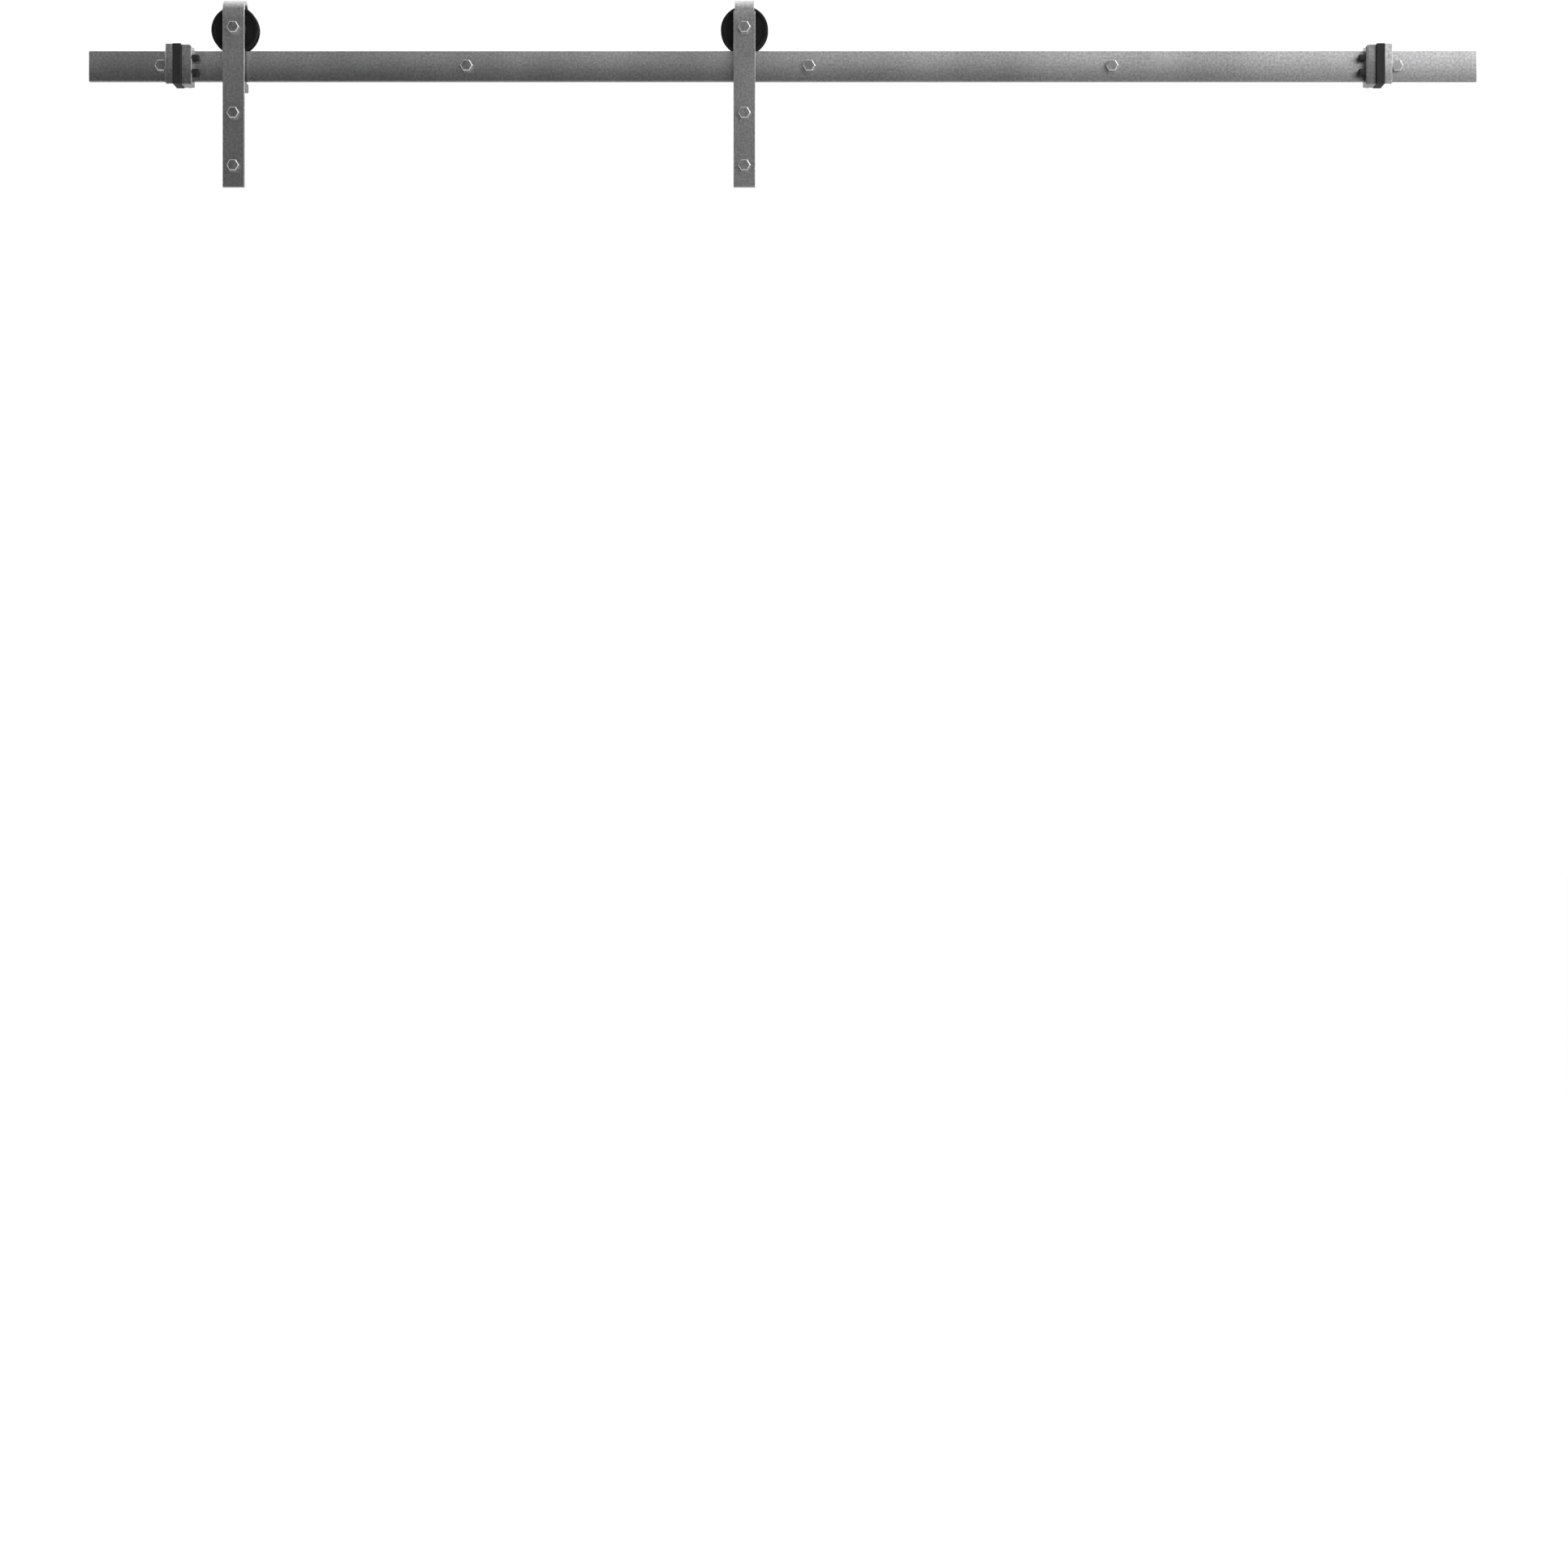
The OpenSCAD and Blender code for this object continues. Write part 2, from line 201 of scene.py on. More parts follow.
floor_material, floor_tree, floor_shader = principled("pale_floor")
floor_shader.inputs["Base Color"].default_value = (0.80, 0.80, 0.80, 1)
floor_shader.inputs["Roughness"].default_value = 0.9
floor_mesh = bpy.data.meshes.new("floor")
half = FLOOR_SIZE / 2
floor_corners = [(-half, -half), (half, -half), (half, half), (-half, half)]
floor_mesh.from_pydata([(x, y, -FLOOR_DROP) for x, y in floor_corners], [], [(0, 1, 2, 3)])
floor_mesh.materials.append(floor_material)
floor = bpy.data.objects.new("floor", floor_mesh)
bpy.context.scene.collection.objects.link(floor)

# %% World and lights
BEHIND_LIGHT = 1.08
BEHIND_RAMP = (-0.7, 0.75)
FRONT_LIGHT = 0.27
FRONT_GROWTH = 30.0
FRONT_MOST = 3.0
OVERHEAD_LIGHT = 0.52
OVERHEAD_RAMP = (0.4, 0.95)
LEFT_LIGHT = 0.5
LEFT_RAMP = (-0.5, -0.95)
SOFTBOX_PLACE = (3.2, -2.4, 1.2)
SOFTBOX_AIM = (0.5, -0.04, 0.0)
SOFTBOX_SIZE = 1.8
SOFTBOX_POWER = 75.0
bpy.context.scene.view_settings.view_transform = "Standard"

world = bpy.data.worlds.new("studio")
bpy.context.scene.world = world
world.use_nodes = True
room = world.node_tree
to_x, to_y, to_z = axes_of(room, "Generated")
growth = combined(room, "POWER", FRONT_GROWTH, to_x)
front = combined(room, "MINIMUM", combined(room, "MULTIPLY", growth, FRONT_LIGHT), FRONT_MOST)
from_behind = ranged(room, to_y, *BEHIND_RAMP, 0.0, 1.0, smooth=True)
around = ranged(room, from_behind, 0.0, 1.0, front, BEHIND_LIGHT)
overhead = ranged(room, to_z, *OVERHEAD_RAMP, 0.0, OVERHEAD_LIGHT, smooth=True)
far_left = ranged(room, to_x, *LEFT_RAMP, 0.0, LEFT_LIGHT, smooth=True)
backing = room.nodes["Background"]
strength = combined(room, "ADD", combined(room, "ADD", around, overhead), far_left)
feed(room, backing.inputs["Strength"], strength)
backing.inputs["Color"].default_value = (1, 1, 1, 1)

softbox_data = bpy.data.lights.new("softbox", "AREA")
softbox_data.shape = "SQUARE"
softbox_data.size = SOFTBOX_SIZE
softbox_data.energy = SOFTBOX_POWER
softbox = bpy.data.objects.new("softbox", softbox_data)
softbox.location = SOFTBOX_PLACE
aim = Vector(SOFTBOX_AIM) - Vector(SOFTBOX_PLACE)
softbox.rotation_euler = aim.to_track_quat("-Z", "Y").to_euler()
bpy.context.scene.collection.objects.link(softbox)
print("softbox", SOFTBOX_POWER, "W")

# %% [markdown]
# ## Surfaces from grids
# Every new piece is a grid of points: rows along the piece and columns round it. The same few
# lines turn any such grid into a closed mesh, so each piece is only a formula. Merging doubles
# closes the poles, where a whole row is one point, and the normals are then turned outwards.

# %% Grid to mesh
SHARP_ANGLE = math.radians(28)


def tidy_mesh(mesh):
    """Merge doubled points, drop faces without area and turn every face outwards."""
    work = bmesh.new()
    work.from_mesh(mesh)
    bmesh.ops.remove_doubles(work, verts=work.verts, dist=1e-6)
    bmesh.ops.dissolve_degenerate(work, edges=work.edges, dist=1e-7)
    bmesh.ops.recalc_face_normals(work, faces=work.faces)
    work.to_mesh(mesh)
    work.free()
    mesh.update()


def surface(name, grid, ring=False):
    """A mesh whose columns close round the piece; its rows close too if it is a ring.

    Row i and column j are point i * columns + j, and each face joins two rows and two columns.
    """
    rows, columns, _ = grid.shape
    last = rows if ring else rows - 1
    i, j = np.meshgrid(np.arange(last), np.arange(columns), indexing="ij")
    below, right = (i + 1) % rows, (j + 1) % columns
    row, next_row = i * columns, below * columns
    quads = np.stack([row + j, row + right, next_row + right, next_row + j], -1)
    faces = quads.reshape(-1, 4).tolist()
    if not ring:
        faces += [list(range(columns)), list(range((rows - 1) * columns, rows * columns))]
    mesh = bpy.data.meshes.new(name)
    mesh.from_pydata(grid.reshape(-1, 3).tolist(), [], faces)
    tidy_mesh(mesh)
    piece = bpy.data.objects.new(name, mesh)
    bpy.context.scene.collection.objects.link(piece)
    return piece


def joined(name, parts):
    """Several meshes made one piece, for things that come as a set."""
    work = bmesh.new()
    for part in parts:
        work.from_mesh(part.data)
        bpy.data.objects.remove(part)
    mesh = bpy.data.meshes.new(name)
    work.to_mesh(mesh)
    work.free()
    piece = bpy.data.objects.new(name, mesh)
    bpy.context.scene.collection.objects.link(piece)
    return piece


# %% [markdown]
# Sharp corners don't exist on real metal. `eased` takes an outline's few corner points and puts
# a true arc at each. The arc's centre lies on the corner's bisector, and its points turn evenly
# from one tangent direction to the other.

# %% Outlines with eased corners
def eased(corners, radii, steps=6):
    """A closed outline with each corner replaced by an arc of its radius.

    The tangent points are radius / tan(half the corner's angle) from the corner, and the centre
    is radius / sin(half the angle) from it along the bisector.
    """
    corners = np.asarray(corners, float)
    radii = np.broadcast_to(np.asarray(radii, float), len(corners))[:, None]
    to_last = np.roll(corners, 1, 0) - corners
    to_next = np.roll(corners, -1, 0) - corners
    to_last /= np.linalg.norm(to_last, axis=1, keepdims=True)
    to_next /= np.linalg.norm(to_next, axis=1, keepdims=True)
    half_angle = np.arccos(np.clip((to_last * to_next).sum(1, keepdims=True), -1, 1)) / 2
    bisector = to_last + to_next
    bisector /= np.linalg.norm(bisector, axis=1, keepdims=True)
    centre = corners + bisector * radii / np.sin(half_angle)
    start = corners + to_last * radii / np.tan(half_angle) - centre
    end = corners + to_next * radii / np.tan(half_angle) - centre
    turn = np.pi - 2 * half_angle
    share = np.linspace(0, 1, steps)[None, :]
    first = np.sin((1 - share) * turn) / np.sin(turn)
    second = np.sin(share * turn) / np.sin(turn)
    arcs = centre[:, None] + first[..., None] * start[:, None] + second[..., None] * end[:, None]
    return arcs.reshape(-1, 2)


def box_outline(low, high):
    """The four corners of an upright rectangle, as two coordinates each."""
    return [(low[0], low[1]), (high[0], low[1]), (high[0], high[1]), (low[0], high[1])]


def outward(outline):
    """A unit vector at each outline point that points away from the outline's inside."""
    along = np.roll(outline, -1, 0) - np.roll(outline, 1, 0)
    across = np.stack([along[:, 1], -along[:, 0]], 1)
    across /= np.linalg.norm(across, axis=1, keepdims=True)
    x, y = outline.T
    area = (x * np.roll(y, -1) - np.roll(x, -1) * y).sum()
    return across if area > 0 else -across


# %% [markdown]
# Three ways of making cover the whole object, as in a workshop: a **slab** is an outline carried
# straight from one face to the other with both edges rounded, a **turned** piece is an outline
# spun round an axle, and a **drilled** piece has holes cut into it afterwards.

# %% Slab, turned piece and drilling
AROUND = 96
LEAST_EASE = 0.1 * MM


def moved_in(corners, distances):
    """A convex outline's corners after each side has moved in by its own distance.

    Side k runs from corner k to the next one. A corner moves so that its shift, measured along
    the inward normal of each of its two sides, is that side's distance.
    """
    corners = np.asarray(corners, float)
    sides = np.roll(corners, -1, 0) - corners
    x, y = corners.T
    area = (x * np.roll(y, -1) - np.roll(x, -1) * y).sum()
    inward = np.sign(area) * np.stack([-sides[:, 1], sides[:, 0]], 1)
    inward /= np.linalg.norm(inward, axis=1, keepdims=True)
    distances = np.broadcast_to(np.asarray(distances, float), len(corners))
    last, last_distance = np.roll(inward, 1, 0), np.roll(distances, 1)
    cosine = (last * inward).sum(1)
    along = (distances - last_distance * cosine) / (1 - cosine**2)
    along_last = (last_distance - distances * cosine) / (1 - cosine**2)
    return corners + along[:, None] * inward + along_last[:, None] * last


def stacked(name, corners, ease, axis, levels):
    """A slab whose outline is moved in by its own amount at each (place, distances) level.

    The outline's two coordinates are the axes other than `axis`.
    """
    place = np.array([level[0] for level in levels])
    flat = np.array([
        eased(moved_in(corners, inset), max(ease - np.max(inset), LEAST_EASE)) for _, inset in levels
    ])
    others = [k for k in range(3) if k != axis]
    grid = np.empty(flat.shape[:2] + (3,))
    grid[..., axis] = place[:, None]
    grid[..., others[0]] = flat[..., 0]
    grid[..., others[1]] = flat[..., 1]
    return surface(name, grid)


def edge_levels(start, way, edge, steps=5, depth=None):
    """Levels of an edge from a slab's face inwards: a quarter round, or with two steps a chamfer.

    The outline shrinks by edge * (1 - sin) while it moves by depth * (1 - cos). An edge may be
    one width, or one width for each side of the outline, and its depth is its widest width
    unless it is given.
    """
    turn = np.linspace(0, np.pi / 2, steps)
    edge = np.asarray(edge, float)
    depth = edge.max() if depth is None else depth
    return [(start + way * depth * (1 - math.cos(a)), edge * (1 - math.sin(a))) for a in turn]


def slab(name, corners, ease, axis, start, end, edge):
    """An outline carried along one axis, with eased corners and both end edges rounded."""
    levels = edge_levels(start, 1, edge) + edge_levels(end, -1, edge)[::-1]
    return stacked(name, corners, ease, axis, levels)


def turned(name, outline, centre, axis=1, ring=True, around=AROUND):
    """An outline of (radius, distance along the axle) spun round an axle through the centre.

    A column at angle a has its points at radius * (cos a, sin a) across the axle.
    """
    outline = np.asarray(outline, float)
    angle = np.linspace(0, 2 * np.pi, around, endpoint=False)
    others = [k for k in range(3) if k != axis]
    grid = np.empty((len(outline), around, 3))
    grid[..., axis] = centre[axis] + outline[:, 1:]
    grid[..., others[0]] = centre[others[0]] + outline[:, :1] * np.cos(angle)
    grid[..., others[1]] = centre[others[1]] + outline[:, :1] * np.sin(angle)
    return surface(name, grid, ring)


def tube_outline(inner, outer, low, high, edge):
    """The wall of a tube with eased rims, as (radius, distance) points."""
    return eased([(inner, low), (outer, low), (outer, high), (inner, high)], edge, 4)


def rod(name, radius, centre, axis, low, high, around=48):
    """A plain round bar, used as a drill."""
    outline = [(0, low), (radius, low), (radius, high), (0, high)]
    return turned(name, outline, centre, axis, False, around)


def drilled(piece, cutters):
    """Cut the shapes of the cutters out of a piece, and take the cutters away."""
    for cutter in cutters:
        cut = piece.modifiers.new("cut", "BOOLEAN")
        cut.operation = "DIFFERENCE"
        cut.solver = "EXACT"
        cut.object = cutter
        bpy.context.view_layer.update()
        ready = piece.evaluated_get(bpy.context.evaluated_depsgraph_get())
        mesh = bpy.data.meshes.new_from_object(ready)
        piece.modifiers.clear()
        piece.data = mesh
        bpy.data.objects.remove(cutter)
    return piece


def finished(piece, body, nodes, finish):
    """Give a piece its material, crisp edges, flat faces and body, and hide its CAD nodes.

    A finish is a pair: the name of the record's slot, which is not used here, and the material
    that goes with it.
    """
    slot, material = finish
    piece.data.materials.clear()
    piece.data.materials.append(material)
    piece.data.shade_smooth()
    piece.data.set_sharp_from_angle(angle=SHARP_ANGLE)
    weigh = piece.modifiers.new("flat_faces", "WEIGHTED_NORMAL")
    weigh.keep_sharp = True
    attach(piece, body)
    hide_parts(*nodes)
    return piece


# %% [markdown]
# ## Metal finishes
# All steel here is stainless with a satin skin: tiny pits from blasting, faint lines along the
# bar from rolling, and broad patches where hands and cloths have been. Colour, roughness and
# bump all read the same Object coordinates, so the patterns agree with each other. The rail's,
# the straps' and the stops' colours also carry painted shading: a tone ramp with height that is
# lighter towards the top.

# %% Steel
def satin_steel(slot, name, colour, roughness, grain_along, painted_shading_ramps=()):
    """Blasted and rolled stainless: pits, rolling lines along one axis, patches, and painted
    shading.

    A painted shading ramp is a change of tone with height that paints light and shade into the
    colour: lower end, upper end, and the tone at each.
    """
    material, tree, shader = principled(name)
    pits = noise(tree, 900, 3)
    specks = noise(tree, 340, 2)
    patches = noise(tree, 9, 3)
    amount = ranged(tree, pits, 0.3, 0.7, 0.84, 1.16)
    amount = combined(tree, "MULTIPLY", amount, ranged(tree, specks, 0.3, 0.7, 0.82, 1.18))
    amount = combined(tree, "MULTIPLY", amount, ranged(tree, patches, 0.3, 0.7, 0.94, 1.06))
    stretch = [1.0, 1.0, 1.0]
    stretch[grain_along] = 0.02
    lines = noise(tree, 1500, 2, stretch)
    amount = combined(tree, "MULTIPLY", amount, ranged(tree, lines, 0.3, 0.7, 0.95, 1.05))
    relief = combined(tree, "ADD", pits, lines)
    # Each ramp paints light and shade into the colour: darker low down, lighter towards the top.
    for shading_ramp in painted_shading_ramps:
        tone = ranged(tree, axes_of(tree, "Object")["Z"], *shading_ramp, smooth=True)
        amount = combined(tree, "MULTIPLY", amount, tone)
    tree.links.new(toned(tree, colour, amount), shader.inputs["Base Color"])
    shader.inputs["Metallic"].default_value = 1.0
    cloudy = combined(tree, "ADD", specks, patches)
    rough = ranged(tree, cloudy, 0.6, 1.4, roughness - 0.05, roughness + 0.06)
    tree.links.new(rough, shader.inputs["Roughness"])
    bump(tree, shader, relief, 0.00004, 0.35)
    return slot, material


# Painted shading on the rail: 0.60 of its tone at the bottom edge, 1.42 at the top edge.
RAIL_PAINTED_SHADING = (rail_low[2], rail_high[2], 0.60, 1.42)
# Painted shading on the stops' body and plate: darker at the bottom, lighter at the top.
STOP_PAINTED_SHADING = (rail_low[2], rail_high[2], 0.70, 1.36)
# Painted shading on the straps: a little darker down the legs, lighter towards the bend.
STRAP_PAINTED_SHADING = (-0.16, 0.06, 0.88, 1.04)
# Painted highlight on the straps' bends: the tone rises to 1.42 over the top of the bend.
BEND_PAINTED_HIGHLIGHT = (0.054, 0.075, 1.0, 1.42)
STEEL_GREY = (0.36, 0.36, 0.365)
BODY_GREY = (0.27, 0.27, 0.274)
TUBE_GREY = (0.38, 0.38, 0.385)
# The block's grey is a darker copy of the stop steel that paints the shade under the rail.
BLOCK_PAINTED_SHADE_GREY = (0.15, 0.15, 0.152)
RAIL_STEEL = satin_steel("satin_steel", "satin_steel_rail", STEEL_GREY, 0.36, 0, [RAIL_PAINTED_SHADING])
STRAP_STEEL = satin_steel(
    "satin_steel", "satin_steel_strap", STEEL_GREY, 0.36, 2, [STRAP_PAINTED_SHADING, BEND_PAINTED_HIGHLIGHT],
)
BODY_STEEL = satin_steel("stop_steel", "satin_steel_stop_body", BODY_GREY, 0.36, 2, [STOP_PAINTED_SHADING])
STOP_STEEL = satin_steel("stop_steel", "satin_steel_stop", STEEL_GREY, 0.36, 2, [STOP_PAINTED_SHADING])
TUBE_STEEL = satin_steel("satin_steel", "satin_steel_tube", TUBE_GREY, 0.36, 1)
BLOCK_STEEL = satin_steel("stop_steel", "satin_steel_block", BLOCK_PAINTED_SHADE_GREY, 0.45, 1)

# %% [markdown]
# The fasteners are turned from bar and handled with a spanner, so they are brighter and more
# scratched than the rolled bar. Bearings are ground and polished. Nylon and rubber are nearly
# black and reflect little, and what gives them away is their grain: a rubbed mottle on the
# nylon, pits and a dusty bloom on the rubber.

# %% Fasteners, bearings, nylon and rubber
def mottled(name, colour, patterns, tones, rough, relief, specular=None):
    """A finish whose noise patterns each lighten and darken one colour; its name is its slot's.

    A tone says how a pattern changes the colour: from, to, darkest and lightest. `rough` is a
    pattern's number and the roughness at its two ends, and `relief` a pattern's number and the
    bump's distance and strength. Without a specular level the finish is a metal.
    """
    material, tree, shader = principled(name)
    values = [noise(tree, *pattern) for pattern in patterns]
    amount = ranged(tree, values[0], *tones[0])
    for value, tone in zip(values[1:], tones[1:]):
        amount = combined(tree, "MULTIPLY", amount, ranged(tree, value, *tone))
    tree.links.new(toned(tree, colour, amount), shader.inputs["Base Color"])
    if specular is None:
        shader.inputs["Metallic"].default_value = 1.0
    else:
        shader.inputs["Specular IOR Level"].default_value = specular
    roughness = ranged(tree, values[rough[0]], 0.3, 0.7, *rough[1:])
    tree.links.new(roughness, shader.inputs["Roughness"])
    bump(tree, shader, values[relief[0]], *relief[1:])
    return name, material


# Turned stainless: a fine mottle and small handling scratches.
FASTENER = mottled(
    "fastener_steel", (0.46, 0.46, 0.465),
    [(1200, 3), (700, 4, (1, 0.3, 0.15))], [(0.3, 0.7, 0.9, 1.1), (0.35, 0.65, 0.93, 1.07)],
    rough=(1, 0.20, 0.30), relief=(0, 0.00002, 0.3),
)
# Ground bearing steel: bright, smooth, with the faintest cloud and a very fine relief.
BEARING = mottled(
    "bearing_steel", (0.72, 0.72, 0.73), [(250, 3), (3000, 1)], [(0.3, 0.7, 0.95, 1.05)],
    rough=(0, 0.10, 0.18), relief=(1, 0.00001, 0.15),
)
# Machined black nylon: a faint mottle, and paler where it has rubbed.
NYLON = mottled(
    "wheel_nylon", (0.0042, 0.0042, 0.0043),
    [(500, 4), (60, 3)], [(0.3, 0.7, 0.75, 1.3), (0.35, 0.75, 0.9, 1.5)],
    rough=(0, 0.46, 0.60), relief=(0, 0.00006, 0.4), specular=0.14,
)
# Moulded rubber: dull, finely pitted, with a dusty bloom in patches.
RUBBER = mottled(
    "black_rubber", (0.009, 0.009, 0.0092),
    [(1400, 3), (90, 4)], [(0.3, 0.7, 0.8, 1.2), (0.35, 0.75, 0.85, 1.7)],
    rough=(1, 0.62, 0.8), relief=(0, 0.00008, 0.5), specular=0.25,
)
print(len(bpy.data.materials), "materials")

# %% [markdown]
# ## The rail
# The rail is a length of flat bar, 40 by 6 mm, sawn and deburred, with five drilled holes. It
# could be a scaled cube with a Bevel modifier. A rounded outline carried along X gives the same
# shape with edges whose radius is known, and the holes are then drilled as on the bench.

# %% Rail
BAR_EDGE = 0.7 * MM
BAR_END_EDGE = 0.4 * MM
SCREW_HOLE_R = 5.0 * MM

rail_corners = box_outline(rail_low[1:], rail_high[1:])
rail = slab("rail_bar", rail_corners, BAR_EDGE, 0, rail_low[0], rail_high[0], BAR_END_EDGE)
screw_places = [np.array(mounts[f"wall_screw_{i}"]["pos_m"], float) for i in range(1, 6)]
drills = [
    rod("drill", SCREW_HOLE_R, place, 1, rail_low[1] - MM, rail_high[1] + MM)
    for place in screw_places
]
drilled(rail, [joined("drills", drills)])
finished(rail, "rail_assembly", ["rail"], RAIL_STEEL)
print("rail", len(rail.data.polygons), "faces,", len(screw_places), "holes")

# %% [markdown]
# ## Screws with hexagon heads
# A hexagon head is a cylinder whose radius depends on the angle: flat over two, divided by the
# cosine of the angle from the nearest flat's middle. These heads have a flat hexagonal crown with
# a narrow sloping edge, and the crown's corners are turned a little rounder than the hexagon's.
# One grid of rows and columns makes crown, edge, flats, shank, thread and point, so the whole
# screw is a single closed skin.

# %% Rows of a screw
HEAD_FLATS = 14.3 * MM
CROWN_EDGE = 1.15 * MM
CROWN_CORNER = 0.87
CROWN_SLOPE = math.tan(math.radians(29))
SHANK_R = 4.7625 * MM
BORE_R = SHANK_R + 0.02 * MM
THREAD_R = 4.5 * MM
THREAD_START = 0.1 * MM

screw_angle = np.linspace(0, 2 * np.pi, AROUND, endpoint=False)


def hexagon(flats, corner_ease=0.99):
    """The hexagon's radius at each angle, with its six corners a little rounded off."""
    from_flat = np.mod(screw_angle, np.pi / 3) - np.pi / 6
    sharp = flats / 2 / np.cos(from_flat)
    return np.minimum(sharp, corner_ease * flats / math.sqrt(3))


def round_row(radius, distance):
    """One row of a round stretch: the same radius at every angle."""
    return np.full(AROUND, radius), np.full(AROUND, distance)


def crown_rows(height, flats):
    """The flat crown and its sloping edge, from the middle outwards; it grows towards -distance.

    The edge falls by slope * (radius - crown radius), where the crown's radius at an angle is
    the smaller one of the hexagon's less the edge's width, and the turned corner's.
    """
    side = hexagon(flats)
    crown = np.minimum(side - CROWN_EDGE, CROWN_CORNER * flats / math.sqrt(3))
    rows = [(crown * share, np.full(AROUND, -height)) for share in (0.0, 0.5, 1.0)]
    for share in (0.5, 1.0):
        radius = crown + share * (side - crown)
        rows.append((radius, -height + (radius - crown) * CROWN_SLOPE))
    return rows


def thread_rows(major, depth, pitch, low, high, point=None):
    """A thread as a radius that depends on angle and distance together.

    The radius falls and rises once per pitch, and the angle shifts the pattern by one pitch per
    turn, so the ridge runs round as a helix. At the point the radius shrinks to the tip.
    """
    count = int(round((high - low) / pitch * 10)) + 1
    distance = np.linspace(low, high, count)
    phase = distance[:, None] / pitch - screw_angle[None] / (2 * np.pi)
    dip = np.abs(np.mod(phase, 1.0) * 2 - 1) ** 0.6
    grown = np.clip((distance - low) / pitch, 0, 1)[:, None]
    radius = major - depth * grown * (1 - dip)
    if point is not None:
        taper = np.clip((high - distance) / point, 0.02, 1)[:, None]
        radius = radius * taper**0.75
    else:
        radius = radius * np.clip((high - distance) / (pitch / 2), 0.86, 1)[:, None]
    return [(row, np.full(AROUND, place)) for row, place in zip(radius, distance)]


def screw_skin(name, rows, origin, way=1, ring=False):
    """Put rows of (radius, distance) round an axle through the origin, square to the wall.

    At angle a, x = radius * cos(a) and z = radius * sin(a); y is the distance times way.
    """
    radius = np.array([row[0] for row in rows])
    distance = np.array([row[1] for row in rows])
    grid = np.empty(radius.shape + (3,))
    grid[..., 0] = origin[0] + radius * np.cos(screw_angle)
    grid[..., 1] = origin[1] + way * distance
    grid[..., 2] = origin[2] + radius * np.sin(screw_angle)
    return surface(name, grid, ring)


# %% Hexagon head screw
HEAD_BASE_EASE = 0.2 * MM
LAG_PITCH = 3.2 * MM
LAG_DEPTH = 0.9 * MM
POINT_LENGTH = 8 * MM


def head_rows(height):
    """Crown, cone, flats and the underside of a hexagon head that ends at distance 0."""
    side = hexagon(HEAD_FLATS)
    rows = crown_rows(height, HEAD_FLATS)
    rows.append((side, np.full(AROUND, -HEAD_BASE_EASE)))
    rows.append((side - HEAD_BASE_EASE, np.zeros(AROUND)))
    return rows


def lag_screw(name, origin, height, shank, grip):
    """A screw for wood: hexagon head, plain shank, coarse thread and a point."""
    rows = head_rows(height) + [round_row(SHANK_R, 0), round_row(SHANK_R, shank)]
    low, high = shank + THREAD_START, shank + grip
    rows += thread_rows(THREAD_R, LAG_DEPTH, LAG_PITCH, low, high, POINT_LENGTH)
    return screw_skin(name, rows, origin)


# %% Wall screws and spacers
for i, place in enumerate(screw_places, 1):
    low, high = low_high(f"wall_screw_{i}")
    head = rail_low[1] - low[1]
    start = np.array([place[0], rail_low[1], place[2]])
    piece = lag_screw(f"lag_screw_{i}", start, head, -rail_low[1], high[1])
    finished(piece, "rail_assembly", [f"wall_screw_{i}"], FASTENER)
    low, high = low_high(f"wall_spacer_{i}")
    wall = tube_outline(SCREW_HOLE_R, (high[0] - low[0]) / 2, low[1], high[1], 0.5 * MM)
    tube = turned(f"spacer_tube_{i}", wall, (place[0], 0, place[2]))
    finished(tube, "rail_assembly", [f"wall_spacer_{i}"], TUBE_STEEL)
print("wall screw faces:", len(piece.data.polygons))

# %% [markdown]
# ## The strap
# Each hanger is one flat bar bent over the wheel. The right one is about 3 mm slimmer round its
# bend than in its legs, with a small shoulder on each side. The piece is a rounded rectangle
# carried along a path: up the front, round the half ring and down the back. At each
# step the section's thickness points along the path's own normal.

# %% Strap path and section
STRAP_EDGE = 0.35 * MM
BEND_NARROWING = {"left": 0.0, "right": 1.6 * MM}
SHOULDER_DROP = 1.9 * MM
SHOULDER_RUN = 0.8 * MM
BEND_ROWS = 96
FRONT_ROWS = 400
REAR_ROWS = 100
END_ROWS = 5
END_RUN = 2 * MM
BEND_GAP = 0.1 * MM


def strap_path(low, high, thickness, rear_end):
    """Rows along the middle of the bar: place in depth and height, normal, and end rounding.

    The front leg and the rear leg are straight, and the bend is a half circle between them. The
    last value is the height at which the bend starts.
    """
    depth = high[1] - low[1]
    radius = (depth - thickness) / 2
    centre = np.array([(low[1] + high[1]) / 2, high[2] - depth / 2])
    turn = np.linspace(0, np.pi, BEND_ROWS)
    normal = np.stack([-np.cos(turn), np.sin(turn)], 1)
    end_turn = np.linspace(0, np.pi / 2, END_ROWS)
    edge = STRAP_EDGE * (1 - np.cos(end_turn))
    leg_top = centre[1] - BEND_GAP
    front_z = np.linspace(low[2] + END_RUN, leg_top, FRONT_ROWS)
    front_z = np.concatenate([low[2] + edge, front_z])
    rear_z = np.linspace(leg_top, rear_end + END_RUN, REAR_ROWS)
    rear_z = np.concatenate([rear_z, (rear_end + edge)[::-1]])
    front = np.stack([np.full(len(front_z), centre[0] - radius), front_z], 1)
    rear = np.stack([np.full(len(rear_z), centre[0] + radius), rear_z], 1)
    path = np.concatenate([front, centre + radius * normal, rear])
    forwards = np.tile([-1.0, 0.0], (len(front), 1))
    normals = np.concatenate([forwards, normal, np.tile([1.0, 0.0], (len(rear), 1))])
    inset = STRAP_EDGE * (1 - np.sin(end_turn))
    insets = np.zeros(len(path))
    insets[:END_ROWS], insets[-END_ROWS:] = inset, inset[::-1]
    return path, normals, insets, centre[1]


